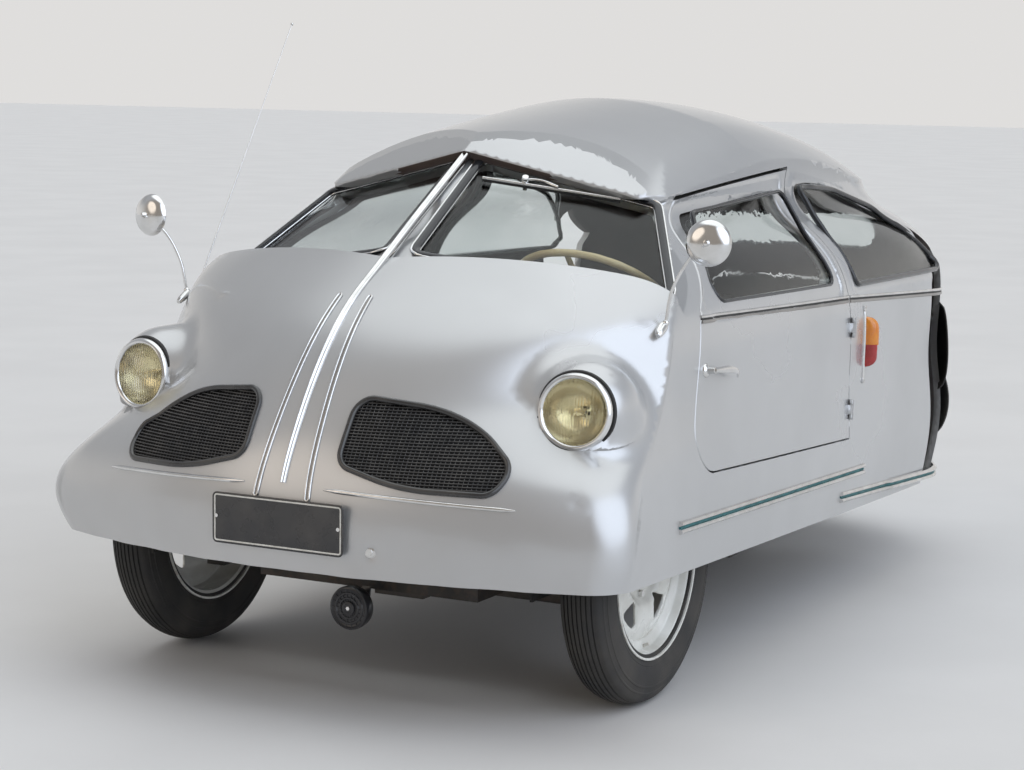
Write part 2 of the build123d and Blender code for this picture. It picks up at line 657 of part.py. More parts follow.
def make_side_fittings():
    """Lamps, air scoops, mirrors and antenna on the body's sides."""
    lamp = Pos(0, SIDE_LAMP_Y, SIDE_LAMP_Z) * scale(Sphere(1), (SIDE_LAMP_T, 34, SIDE_LAMP_H / 2))
    at = SIDE_LAMP_X
    save("side_lamps", mirrored(solid_of(Pos(at, 0, 0) * lamp - OUTER)))
    scoops = []
    for y, x, z in zip(SCOOP_Y, SCOOP_X, SCOOP_Z):
        ear = Pos(x, y, z) * scale(Sphere(1), (SCOOP_DEPTH, 95, SCOOP_H / 2))
        throat = Pos(x, y - 60, z) * scale(Sphere(1), (SCOOP_DEPTH - 8, 130, SCOOP_H / 2 - 9))
        scoops.append(solid_of((ear - throat - box_between((0, 0, 0), (BIG, y - 62, BIG))) - OUTER))
    pair = [mirror(scoop, about=Plane.YZ) for scoop in scoops]
    save("rear_scoops", Compound(scoops + pair))
    foot = Vector(*MIRROR_FOOT)
    head = Vector(*MIRROR_HEAD)
    shield = Pos(head.X, head.Y, head.Z) * Rot(90, 0, -12) * Cylinder(MIRROR_R, MIRROR_T)
    shoe = Pos(foot.X, foot.Y, foot.Z) * scale(Sphere(1), (16, 30, 14))
    arm = rod(foot, head, MIRROR_ARM_R)
    stand = solid_of((shield + shoe + arm) - OUTER)
    save("mirrors", mirrored(stand))
    base = Pos(*ANTENNA_FOOT) * Cylinder(9, 26)
    mast = rod(ANTENNA_FOOT, ANTENNA_TIP, ANTENNA_R)
    tip = Pos(*ANTENNA_TIP) * Sphere(5)
    save("antenna", solid_of((base + mast + tip) - OUTER))


def make_floor():
    """The stepped floor: footwell, seat box, bulkhead and the shelf over the engine."""
    top = (
        (-330, FLOOR_Z + FLOOR_T), (SEAT_FRONT_Y, FLOOR_Z + FLOOR_T), (SEAT_FRONT_Y, SEAT_BOX_Z),
        (BULKHEAD_Y, SEAT_BOX_Z), (BULKHEAD_Y, SHELF_Z + FLOOR_T), (2300, SHELF_Z + FLOOR_T),
    )
    low = (
        (2300, SHELF_Z), (BULKHEAD_Y + FLOOR_T, SHELF_Z), (BULKHEAD_Y + FLOOR_T, SEAT_BOX_Z - FLOOR_T),
        (SEAT_FRONT_Y + FLOOR_T, SEAT_BOX_Z - FLOOR_T), (SEAT_FRONT_Y + FLOOR_T, FLOOR_Z), (-330, FLOOR_Z),
    )
    sheet = through_x(side_outline(top + low))
    inner = BEHIND_BODY & (OUTER + box_between((-BIG, 0, 0), (BIG, BIG, 400)))
    narrow = box_between((-BIG, ARCH_R - BIG, 0), (-ARCH_INNER_X, ARCH_R + ARCH_T, BIG)) + box_between(
        (ARCH_INNER_X, ARCH_R - BIG, 0), (BIG, ARCH_R + ARCH_T, BIG)
    )
    doorways = DOORWAY - INNER_TRIM
    sheet = (sheet & inner) - narrow - doorways
    arches = []
    for side in (1, -1):
        centre = Pos(side * (ARCH_INNER_X + ARCH_WIDTH / 2), 0, TYRE_R) * Rot(0, 90, 0)
        barrel = centre * (Cylinder(ARCH_R + ARCH_T, ARCH_WIDTH) - Cylinder(ARCH_R, ARCH_WIDTH))
        disc = Pos(side * (ARCH_INNER_X + ARCH_T / 2), 0, TYRE_R) * Rot(0, 90, 0) * Cylinder(ARCH_R, ARCH_T)
        disc = disc - box_between((-BIG, -BIG, 0), (BIG, BIG, FLOOR_Z))
        pocket = Pos(side * ARCH_INNER_X, 0, FRONT_BEAM_Z) * Box(130, 130, 290)
        arch = ((barrel - hem_cut() + disc) & BEHIND_NOSE) - pocket
        arches.append(arch - lamp_space(side, LAMP_R + 1, -LAMP_RIM, LAMP_DEPTH + 20))
    for arch in arches:
        sheet = sheet + (arch - SHELL - doorways)
    save("floor_pan", solid_of(sheet))


def make_cabin():
    """Dashboard, hoop behind the doors, seat and steering column."""
    dash = box_between((-BIG, DASH_Y[0], DASH_Z[0]), (BIG, DASH_Y[1], DASH_Z[1])) & BEHIND_NOSE
    save("dashboard", solid_of(dash - (SHELL & SCREEN_AREA) - (DOORWAY - INNER_TRIM)))
    hoop = box_between((-BIG, HOOP_Y[0], SHELF_Z + FLOOR_T), (BIG, HOOP_Y[1], BIG))
    save("roof_hoop", solid_of((BEHIND_BODY & hoop) - INNER_TRIM))
    cushion_z = SEAT_BOX_Z + SEAT_CLEAR
    cushion = box_between(
        (-SEAT_HALF_W, SEAT_FRONT_Y - 20, cushion_z), (SEAT_HALF_W, SEAT_BACK_Y, cushion_z + CUSHION_H)
    )
    save("seat_cushion", fillet(cushion.edges().filter_by(Axis.X), 30))
    back = box_between(
        (-SEAT_HALF_W, SEAT_BACK_Y + SEAT_CLEAR, cushion_z),
        (SEAT_HALF_W, BULKHEAD_Y - SEAT_CLEAR, cushion_z + BACKREST_H),
    )
    save("seat_backrest", fillet(back.edges().filter_by(Axis.X).group_by(Axis.Z)[-1], 30))
    top = STEER_CENTRE - STEER_AXIS * (STEER_DISH + HINGE_GAP)
    column = rod(top - STEER_AXIS * COLUMN_LENGTH, top, COLUMN_R)
    bracket = box_between(
        (STEER_CENTRE.X - 34, DASH_Y[0] + 4, DASH_Z[0] - 70), (STEER_CENTRE.X + 34, DASH_Y[1], DASH_Z[0])
    )
    save("steering_column", solid_of((column + bracket) - box_between((-BIG, -BIG, 0), (BIG, BIG, FLOOR_Z + FLOOR_T))))


def make_steering_wheel():
    """A thin rim on two spokes and a boss, turned to the column's rake."""
    rim = Torus(STEER_R, STEER_RIM_R)
    boss = Pos(0, 0, -STEER_DISH / 2) * Cylinder(28, STEER_DISH)
    wheel = rim + boss
    for angle in (0, 120, 240):
        start = Vector(0, 0, -STEER_DISH * 0.6)
        end = Vector(STEER_R * cos(radians(angle - 90)), STEER_R * sin(radians(angle - 90)), 0)
        wheel = wheel + rod(start, end, 7)
    plane = Plane(STEER_CENTRE, x_dir=(1, 0, 0), z_dir=STEER_AXIS)
    save("steering_wheel", solid_of(plane * wheel))


def wheel_rim():
    """A pressed wheel, its outer face towards +X, its middle at the origin."""
    half = RIM_W / 2
    profile = (
        (-half, RIM_FLANGE_R), (-half + RIM_FLANGE_T, RIM_FLANGE_R), (-half + RIM_FLANGE_T, BEAD_R),
        (half - RIM_FLANGE_T, BEAD_R), (half - RIM_FLANGE_T, RIM_FLANGE_R), (half, RIM_FLANGE_R),
        (half, BEAD_R - RIM_SKIN - 4), (RIM_DISC_X + 30, BEAD_R - RIM_SKIN - 12),
        (RIM_DISC_X + DISC_DISH, 150), (RIM_DISC_X + DISC_DISH, 96), (RIM_DISC_X, 78), (RIM_DISC_X, HUB_R),
        (RIM_DISC_X + 34, HUB_R - 6), (RIM_DISC_X + 34, STUB_R + RUNNING_FIT),
        (RIM_DISC_X + 34 - HUB_LENGTH, STUB_R + RUNNING_FIT), (RIM_DISC_X + 34 - HUB_LENGTH, HUB_R),
        (RIM_DISC_X - RIM_SKIN, HUB_R), (RIM_DISC_X - RIM_SKIN, 80), (RIM_DISC_X + DISC_DISH - RIM_SKIN, 98),
        (RIM_DISC_X + DISC_DISH - RIM_SKIN, 148), (RIM_DISC_X + 20, BEAD_R - RIM_SKIN - 2), (-half, BEAD_R - RIM_SKIN),
    )
    face = make_face(Polyline(*[(x, 0, z) for x, z in profile], close=True))
    rim = revolve(face, axis=Axis.X)
    for index in range(WHEEL_HOLES):
        angle = 360 * index / WHEEL_HOLES
        hole = Rot(angle, 0, 0) * Pos(0, 0, WHEEL_HOLE_PCR) * Rot(0, 90, 0) * Cylinder(WHEEL_HOLE_R, 3 * RIM_W)
        rim = rim - hole
    return rim


def wheel_tyre():
    """A crossply tyre seated between the rim's flanges."""
    half = RIM_W / 2 - RIM_FLANGE_T
    wide = TYRE_W / 2
    with BuildPart() as tyre:
        with BuildSketch(Plane.XZ):
            with BuildLine():
                Line((-half, BEAD_R), (half, BEAD_R))
                Line((half, BEAD_R), (half, RIM_FLANGE_R + 3))
                ThreePointArc((half, RIM_FLANGE_R + 3), (wide, 268), (44, TYRE_R - 12))
                ThreePointArc((44, TYRE_R - 12), (0, TYRE_R), (-44, TYRE_R - 12))
                ThreePointArc((-44, TYRE_R - 12), (-wide, 268), (-half, RIM_FLANGE_R + 3))
                Line((-half, RIM_FLANGE_R + 3), (-half, BEAD_R))
            make_face()
        revolve(axis=Axis.X)
    return tyre.part


def make_wheels():
    """Two front wheels and one rear wheel."""
    rim = wheel_rim()
    tyre = wheel_tyre()
    for side, name in ((1, "front_left"), (-1, "front_right")):
        turn = Rot(0, 0, 0 if side == 1 else 180)
        place = Pos(side * HALF_TRACK, 0, TYRE_R) * turn
        save(f"{name}_rim", solid_of(place * rim))
        save(f"{name}_tyre", solid_of(place * tyre))
    place = Pos(0, WHEELBASE, TYRE_R)
    save("rear_rim", solid_of(place * rim))
    save("rear_tyre", solid_of(place * tyre))


def make_chassis():
    """Two rails that rise over the engine, cross members and the kingpin."""
    z = FLOOR_Z - RAIL_H
    frame = box_between((-RAIL_X - 20, RAIL_FRONT_Y, z), (RAIL_X + 20, RAIL_FRONT_Y + 50, FLOOR_Z))
    frame = frame + box_between((-RAIL_X, 560, z), (RAIL_X, 600, FLOOR_Z))
    rise_y = BULKHEAD_Y + FLOOR_T
    for side in (1, -1):
        x = side * RAIL_X
        frame = frame + box_between((x - 20, RAIL_FRONT_Y, z), (x + 20, rise_y + RAIL_W, FLOOR_Z))
        frame = frame + box_between((x - 20, rise_y, z), (x + 20, rise_y + RAIL_W, SHELF_Z))
        frame = frame + box_between((x - 20, rise_y, REAR_RAIL_Z), (x + 20, REAR_RAIL_END_Y, SHELF_Z))
    frame = frame + box_between(
        (-RAIL_X, KINGPIN_Y - 50, REAR_RAIL_Z), (RAIL_X, KINGPIN_Y + 50, SHELF_Z)
    )
    frame = frame + box_between((-RAIL_X, REAR_RAIL_END_Y - 40, REAR_RAIL_Z), (RAIL_X, REAR_RAIL_END_Y, SHELF_Z))
    frame = frame + rod((0, KINGPIN_Y, SLEEVE_Z[0] - 10), (0, KINGPIN_Y, REAR_RAIL_Z), KINGPIN_R)
    frame = frame - rod((-BIG, 0, FRONT_BEAM_Z), (BIG, 0, FRONT_BEAM_Z), FRONT_BEAM_R)
    for x in (-TOW_X, TOW_X):
        frame = frame - rod((x, RAIL_FRONT_Y + 25, 0), (x, RAIL_FRONT_Y + 25, BIG), TOW_R)
    save("chassis_frame", solid_of(frame))


def make_front_axle():
    """A cross tube with a leaf spring above it, and a stub axle at each end."""
    z = FRONT_BEAM_Z
    beam = rod((-KNUCKLE_X, 0, z), (KNUCKLE_X, 0, z), FRONT_BEAM_R)
    clamp = box_between((-70, -45, z - 50), (70, 45, z - 20))
    save("front_axle", solid_of(beam + clamp))
    stubs = []
    for side in (1, -1):
        drum_x = side * (HALF_TRACK + RIM_DISC_X - 46 - DRUM_T / 2)
        drum = Pos(drum_x, 0, TYRE_R) * Rot(0, 90, 0) * Cylinder(DRUM_R, DRUM_T)
        shaft = rod((drum_x, 0, TYRE_R), (side * (HALF_TRACK + RIM_DISC_X + 33), 0, TYRE_R), STUB_R)
        block = box_between((-26, -34, z - 34), (26, 34, TYRE_R + 44))
        block = Pos(side * (KNUCKLE_X + 4), 0, 0) * block
        stubs.append(solid_of((drum + shaft + block) - beam))
    save("stub_axles", Compound(stubs))


def make_rear_unit():
    """The steered rear unit: kingpin sleeve, fork, wheel pin and the engine's block."""
    low, high = SLEEVE_Z
    sleeve = rod((0, KINGPIN_Y, low), (0, KINGPIN_Y, high), SLEEVE_R)
    bridge = box_between((-FORK_X - FORK_T, KINGPIN_Y - 60, low - 70), (FORK_X + FORK_T, KINGPIN_Y + 40, low))
    unit = sleeve + bridge
    arm_points = (
        (KINGPIN_Y - 60, low), (KINGPIN_Y - 60, low - 70), (WHEELBASE - 20, TYRE_R - 30),
        (WHEELBASE + 34, TYRE_R - 30), (WHEELBASE + 34, TYRE_R + 34), (KINGPIN_Y + 60, low),
    )
    arm = side_outline(arm_points)
    for side in (1, -1):
        plate = extrude(arm, amount=FORK_T, dir=(1, 0, 0))
        x = FORK_X if side == 1 else -FORK_X - FORK_T
        unit = unit + Pos(x, 0, 0) * plate
    pin = rod((-FORK_X, WHEELBASE, TYRE_R), (FORK_X, WHEELBASE, TYRE_R), STUB_R)
    bore = rod((0, KINGPIN_Y, low - 90), (0, KINGPIN_Y, high + 10), KINGPIN_R + RUNNING_FIT)
    unit = unit + pin - bore
    mount = box_between((-60, KINGPIN_Y - 80, low - 60), (60, KINGPIN_Y - 60, low))
    save("rear_cradle", solid_of(unit + mount))
    wide, long, tall = ENGINE
    engine_back = KINGPIN_Y - 80
    block = box_between((-wide / 2, engine_back - long, ENGINE_Z), (wide / 2, engine_back, ENGINE_Z + tall))
    save("engine_block", block)


make_shell()
make_glass()
make_doors()
make_engine_lid()
make_nose_fittings()
make_side_fittings()
make_floor()
make_cabin()
make_steering_wheel()
make_wheels()
make_chassis()
make_front_axle()
make_rear_unit()
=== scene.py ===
"""The looks of a small three-wheeled car, built round its fixed frame.

Lengths are in metres in the frame's axes: +X is the car's left, -Y its front and +Z up.
"""

import logging
import math
from dataclasses import dataclass
from enum import Enum
from typing import Iterable, Optional, Sequence

import bmesh
import bpy
import numpy as np
from mathutils import Matrix, Vector
from mathutils.bvhtree import BVHTree


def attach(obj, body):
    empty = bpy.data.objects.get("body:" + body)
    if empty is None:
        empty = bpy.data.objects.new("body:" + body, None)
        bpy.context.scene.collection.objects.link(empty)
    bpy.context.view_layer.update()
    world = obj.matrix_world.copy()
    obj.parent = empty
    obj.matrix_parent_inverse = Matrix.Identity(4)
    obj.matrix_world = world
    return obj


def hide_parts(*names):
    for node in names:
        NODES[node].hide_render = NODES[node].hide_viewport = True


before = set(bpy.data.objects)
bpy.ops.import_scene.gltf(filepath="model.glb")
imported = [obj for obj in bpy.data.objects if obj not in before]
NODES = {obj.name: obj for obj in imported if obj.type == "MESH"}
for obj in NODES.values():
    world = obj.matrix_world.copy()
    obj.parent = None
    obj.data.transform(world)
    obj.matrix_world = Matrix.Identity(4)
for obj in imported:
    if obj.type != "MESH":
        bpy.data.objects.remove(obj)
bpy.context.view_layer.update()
LOG = logging.getLogger("three_wheeler")

AXLE_Y = -1.005
SIDES = (1, -1)
SIDE_NAMES = {1: "left", -1: "right"}
Pair = tuple[float, float]
Color = tuple[float, float, float]


class Graph:
    """Adds and links nodes in one node tree."""

    def __init__(self, tree: bpy.types.NodeTree) -> None:
        """Keeps the tree that the nodes go into."""
        self.tree = tree

    def add(self, kind: str, inputs: Optional[dict] = None, **settings: object) -> bpy.types.Node:
        """Adds one node.

        Args:
            kind: The node's type name.
            inputs: Socket name or index to a value or another node's socket.
            settings: Properties of the node itself.

        Returns:
            The node.
        """
        node = self.tree.nodes.new(kind)
        for key, value in settings.items():
            setattr(node, key, value)
        for key, value in (inputs or {}).items():
            self.put(node.inputs[key], value)
        return node

    def put(self, socket: bpy.types.NodeSocket, value: object) -> None:
        """Links a socket to another socket, or sets its value."""
        if isinstance(value, bpy.types.NodeSocket):
            self.tree.links.new(value, socket)
        else:
            socket.default_value = value

    def math(self, operation: str, *values: object) -> bpy.types.NodeSocket:
        """One Math node's result."""
        return self.add("ShaderNodeMath", dict(enumerate(values)), operation=operation).outputs[0]

    def mix(self, factor: object, first: object, second: object) -> bpy.types.NodeSocket:
        """One colour mixed over another by a factor."""
        node = self.add("ShaderNodeMix", {0: factor, 6: first, 7: second}, data_type="RGBA")
        return node.outputs[2]

    def noise(self, vector: object, scale: object, detail: float = 3.0) -> bpy.types.NodeSocket:
        """A noise value from 0 to 1."""
        inputs = {"Vector": vector, "Scale": scale, "Detail": detail}
        return self.add("ShaderNodeTexNoise", inputs).outputs[0]

    def ramp(self, value: object, low: object, high: object) -> bpy.types.NodeSocket:
        """The value's place between low and high, from 0 to 1, with soft ends."""
        inputs = {"Value": value, "From Min": low, "From Max": high}
        return self.add("ShaderNodeMapRange", inputs, interpolation_type="SMOOTHSTEP").outputs["Result"]


class SharedGroups:
    """Shader groups that several finishes use, each built once."""

    def __init__(self) -> None:
        """Starts with none built."""
        self.built: dict[str, bpy.types.NodeTree] = {}

    def start(self, name: str, inputs: Sequence[str], outputs: Sequence[str]) -> tuple:
        """An empty group with float inputs and outputs.

        Args:
            name: The group's name.
            inputs: Names of its inputs.
            outputs: Names of its outputs.

        Returns:
            The graph, the input node and the output node.
        """
        tree = bpy.data.node_groups.new(name, "ShaderNodeTree")
        for label in inputs:
            tree.interface.new_socket(name=label, in_out="INPUT", socket_type="NodeSocketFloat")
        for label in outputs:
            tree.interface.new_socket(name=label, in_out="OUTPUT", socket_type="NodeSocketFloat")
        graph = Graph(tree)
        self.built[name] = tree
        return graph, graph.add("NodeGroupInput"), graph.add("NodeGroupOutput")

    def patches(self) -> bpy.types.NodeTree:
        """Large soft patches of tone, with fine grain as a height."""
        if "tone_patches" not in self.built:
            graph, given, made = self.start("tone_patches", ("Scale", "Grain Scale"), ("Tone", "Height"))
            place = graph.add("ShaderNodeTexCoord").outputs["Object"]
            cloud = graph.noise(place, given.outputs["Scale"], 4.0)
            graph.put(made.inputs["Tone"], graph.ramp(cloud, 0.32, 0.68))
            graph.put(made.inputs["Height"], graph.noise(place, given.outputs["Grain Scale"], 5.0))
        return self.built["tone_patches"]

    def wear(self) -> bpy.types.NodeTree:
        """Rubbed paint along edges, broken up by noise."""
        if "edge_wear" not in self.built:
            graph, given, made = self.start("edge_wear", ("Amount", "Grain Scale"), ("Mask",))
            place = graph.add("ShaderNodeTexCoord").outputs["Object"]
            edge = graph.ramp(graph.add("ShaderNodeNewGeometry").outputs["Pointiness"], 0.515, 0.60)
            broken = graph.ramp(graph.noise(place, given.outputs["Grain Scale"], 6.0), 0.45, 0.62)
            mask = graph.math("MULTIPLY", graph.math("MULTIPLY", edge, broken), given.outputs["Amount"])
            graph.put(made.inputs["Mask"], mask)
        return self.built["edge_wear"]

    def dust(self) -> bpy.types.NodeTree:
        """Road dust that thins out with height and lies more on upward faces."""
        if "road_dust" not in self.built:
            graph, given, made = self.start("road_dust", ("Amount", "Top"), ("Mask",))
            place = graph.add("ShaderNodeTexCoord").outputs["Object"]
            height = graph.add("ShaderNodeSeparateXYZ", {0: place}).outputs["Z"]
            low = graph.math("SUBTRACT", 1.0, graph.ramp(height, 0.0, given.outputs["Top"]))
            cloud = graph.ramp(graph.noise(place, 9.0, 6.0), 0.30, 0.72)
            normal = graph.add("ShaderNodeNewGeometry").outputs["Normal"]
            up = graph.ramp(graph.add("ShaderNodeSeparateXYZ", {0: normal}).outputs["Z"], -0.4, 1.0)
            lie = graph.math("ADD", 0.45, graph.math("MULTIPLY", up, 0.55))
            mask = graph.math("MULTIPLY", graph.math("MULTIPLY", low, cloud), lie)
            graph.put(made.inputs["Mask"], graph.math("MULTIPLY", mask, given.outputs["Amount"]))
        return self.built["road_dust"]


SHARED = SharedGroups()


@dataclass(frozen=True)
class Finish:
    """One surface finish and the numbers its material is made from."""

    name: str
    slot: str
    color: Color
    tone: Color
    metallic: float = 0.0
    roughness: float = 0.5
    spread: float = 0.08
    patch_scale: float = 5.0
    grain: float = 0.0
    grain_scale: float = 400.0
    coat: float = 0.0
    coat_roughness: float = 0.06
    wear: float = 0.0
    wear_color: Color = (0.35, 0.33, 0.30)
    dust: float = 0.0
    dust_top: float = 0.6
    dust_color: Color = (0.30, 0.26, 0.21)
    transmission: float = 0.0
    ior: float = 1.45
    sheen: float = 0.0

    def material(self) -> bpy.types.Material:
        """The finish as a material, built the first time it is asked for."""
        found = bpy.data.materials.get(self.name)
        return found if found else self.build()

    def build(self) -> bpy.types.Material:
        """Builds the node tree.

        Returns:
            The new material.
        """
        material = bpy.data.materials.new(self.name)
        material.use_nodes = True
        graph = Graph(material.node_tree)
        shader = material.node_tree.nodes["Principled BSDF"]
        constant = {
            "Metallic": self.metallic, "Coat Weight": self.coat, "Coat Roughness": self.coat_roughness,
            "Transmission Weight": self.transmission, "IOR": self.ior, "Sheen Weight": self.sheen,
        }
        for socket, value in constant.items():
            shader.inputs[socket].default_value = value
        patches = graph.add("ShaderNodeGroup", node_tree=SHARED.patches())
        patches.inputs["Scale"].default_value = self.patch_scale
        patches.inputs["Grain Scale"].default_value = self.grain_scale
        color = graph.mix(patches.outputs["Tone"], (*self.color, 1.0), (*self.tone, 1.0))
        rough = graph.math("MULTIPLY_ADD", patches.outputs["Tone"], self.spread, self.roughness)
        if self.wear:
            wear = graph.add("ShaderNodeGroup", node_tree=SHARED.wear())
            wear.inputs["Amount"].default_value = self.wear
            wear.inputs["Grain Scale"].default_value = 55.0
            color = graph.mix(wear.outputs["Mask"], color, (*self.wear_color, 1.0))
        if self.dust:
            dust = graph.add("ShaderNodeGroup", node_tree=SHARED.dust())
            dust.inputs["Amount"].default_value = self.dust
            dust.inputs["Top"].default_value = self.dust_top
            color = graph.mix(dust.outputs["Mask"], color, (*self.dust_color, 1.0))
            rough = graph.math("MULTIPLY_ADD", dust.outputs["Mask"], 0.4, rough)
        graph.put(shader.inputs["Base Color"], color)
        graph.put(shader.inputs["Roughness"], rough)
        if self.grain:
            relief = {"Height": patches.outputs["Height"], "Distance": self.grain}
            bump = graph.add("ShaderNodeBump", relief)
            graph.put(shader.inputs["Normal"], bump.outputs["Normal"])
        return material


SILVER = Finish(
    "silver_metallic_paint", "silver_paint", (0.56, 0.565, 0.57), (0.50, 0.505, 0.51), metallic=0.62,
    roughness=0.27, spread=0.05, patch_scale=1.6, grain=0.00004, grain_scale=900.0, coat=0.7,
    coat_roughness=0.05, dust=0.22, dust_top=0.55, dust_color=(0.42, 0.39, 0.34),
)
CHROME = Finish(
    "polished_chrome", "bright_metal", (0.80, 0.80, 0.80), (0.70, 0.70, 0.69), metallic=1.0, roughness=0.07,
    spread=0.10, patch_scale=22.0, dust=0.25, dust_top=0.9,
)
REFLECTOR = Finish(
    "lamp_reflector", "bright_metal", (0.85, 0.84, 0.80), (0.76, 0.74, 0.68), metallic=1.0, roughness=0.16,
    spread=0.10, patch_scale=12.0,
)
GLASS = Finish(
    "clear_pane_glass", "pane_glass", (0.93, 0.96, 0.95), (0.86, 0.90, 0.89), roughness=0.01, spread=0.03,
    patch_scale=3.0, transmission=1.0, ior=1.28,
)
LENS = Finish(
    "fluted_lamp_glass", "pane_glass", (0.97, 0.94, 0.78), (0.93, 0.88, 0.66), roughness=0.02, spread=0.03,
    patch_scale=14.0, transmission=1.0, ior=1.4,
)
AMBER = Finish(
    "amber_lamp_lens", "lamp_amber", (0.86, 0.30, 0.02), (0.80, 0.24, 0.015), roughness=0.12, spread=0.08,
    patch_scale=30.0, grain=0.0006, grain_scale=160.0, coat=0.8, transmission=0.25,
)
RED = Finish(
    "red_lamp_lens", "lamp_amber", (0.50, 0.02, 0.02), (0.38, 0.012, 0.012), roughness=0.12, spread=0.08,
    patch_scale=30.0, grain=0.0006, grain_scale=160.0, coat=0.8, transmission=0.25,
)
RUBBER = Finish(
    "window_rubber", "tyre_black", (0.018, 0.018, 0.019), (0.032, 0.031, 0.030), roughness=0.42, spread=0.2,
    patch_scale=18.0, grain=0.0002, grain_scale=500.0,
)
RUBBER_GLOSS = Finish(
    "polished_window_rubber", "tyre_black", (0.012, 0.013, 0.016), (0.02, 0.021, 0.024), roughness=0.16,
    spread=0.1, patch_scale=14.0, coat=0.4,
)
GRILLE = Finish(
    "grille_black_enamel", "grille_black", (0.018, 0.018, 0.02), (0.035, 0.034, 0.034), roughness=0.25,
    spread=0.25, patch_scale=25.0, coat=0.4, dust=0.25, dust_top=1.2, wear=0.1,
)
GRILLE_RIM = Finish(
    "grille_rim_enamel", "grille_black", (0.016, 0.016, 0.018), (0.03, 0.03, 0.03), roughness=0.14,
    spread=0.2, patch_scale=15.0, coat=0.6, dust=0.3, dust_top=1.0,
)
# A near-black matte sheet behind the grille bars: painted shade for the grille openings.
GRILLE_PAINTED_SHADE = Finish(
    "grille_painted_shadow_sheet", "grille_black", (0.006, 0.006, 0.006), (0.012, 0.011, 0.010), roughness=0.9,
)
PLATE = Finish(
    "plate_black_enamel", "plate_black", (0.012, 0.013, 0.016), (0.022, 0.023, 0.026), roughness=0.22,
    spread=0.12, patch_scale=20.0, coat=0.5, dust=0.4, dust_top=0.9,
)
PLATE_RIM = Finish(
    "plate_white_line", "wheel_white", (0.72, 0.71, 0.67), (0.60, 0.59, 0.54), roughness=0.35,
    patch_scale=40.0, wear=0.8, wear_color=(0.25, 0.24, 0.22),
)
SCOOP = Finish(
    "scoop_satin_black", "scoop_black", (0.02, 0.02, 0.022), (0.035, 0.034, 0.034), roughness=0.3,
    spread=0.2, coat=0.3, dust=0.4, dust_top=1.0,
)
CHASSIS = Finish(
    "chassis_black_paint", "chassis_black", (0.022, 0.022, 0.024), (0.045, 0.040, 0.035), roughness=0.5,
    spread=0.25, patch_scale=12.0, grain=0.0006, grain_scale=220.0, wear=0.3, wear_color=(0.10, 0.06, 0.04),
    dust=0.6, dust_top=0.55,
)
UNDERSEAL = Finish(
    "floor_underseal", "chassis_black", (0.015, 0.015, 0.015), (0.03, 0.027, 0.024), roughness=0.8,
    patch_scale=10.0, grain=0.0015, grain_scale=140.0, dust=0.6, dust_top=0.5,
)
CABIN = Finish(
    "cabin_brown_lining", "cabin_dark", (0.050, 0.032, 0.026), (0.075, 0.050, 0.040), roughness=0.75,
    patch_scale=8.0, grain=0.0008, grain_scale=350.0, sheen=0.2,
)
TUBE_BLACK = Finish(
    "cabin_tube_enamel", "cabin_dark", (0.014, 0.015, 0.018), (0.03, 0.03, 0.034), roughness=0.25,
    spread=0.15, coat=0.4,
)
VINYL = Finish(
    "maroon_leathercloth", "seat_vinyl", (0.16, 0.035, 0.028), (0.11, 0.022, 0.018), roughness=0.42,
    spread=0.18, patch_scale=7.0, grain=0.0007, grain_scale=420.0, coat=0.15, sheen=0.15,
)
WHEEL = Finish(
    "wheel_white_enamel", "wheel_white", (0.78, 0.78, 0.74), (0.69, 0.69, 0.64), roughness=0.2, spread=0.12,
    patch_scale=9.0, coat=0.5, wear=0.35, wear_color=(0.30, 0.20, 0.13), dust=0.45, dust_top=0.7,
)
TYRE = Finish(
    "tyre_rubber", "tyre_black", (0.020, 0.020, 0.021), (0.038, 0.036, 0.034), roughness=0.62, spread=0.2,
    patch_scale=11.0, grain=0.0006, grain_scale=300.0, dust=0.2, dust_top=0.5,
)
CREAM = Finish(
    "cream_plastic", "steering_cream", (0.78, 0.62, 0.34), (0.70, 0.53, 0.27), roughness=0.25, spread=0.12,
    patch_scale=9.0, coat=0.5,
)
ENGINE = Finish(
    "oily_cast_metal", "engine_grey", (0.17, 0.17, 0.175), (0.09, 0.085, 0.08), metallic=0.7,
    roughness=0.45, spread=0.3, patch_scale=9.0, grain=0.0012, grain_scale=180.0, dust=0.7, dust_top=0.9,
)
TEAL = Finish(
    "teal_strip_rubber", "chassis_black", (0.01, 0.16, 0.17), (0.008, 0.11, 0.12), roughness=0.4,
    patch_scale=30.0,
)
TAN = Finish(
    "tan_moulding_paint", "silver_paint", (0.30, 0.28, 0.26), (0.25, 0.235, 0.22), metallic=0.4,
    roughness=0.3, spread=0.1, patch_scale=8.0, coat=0.3,
)


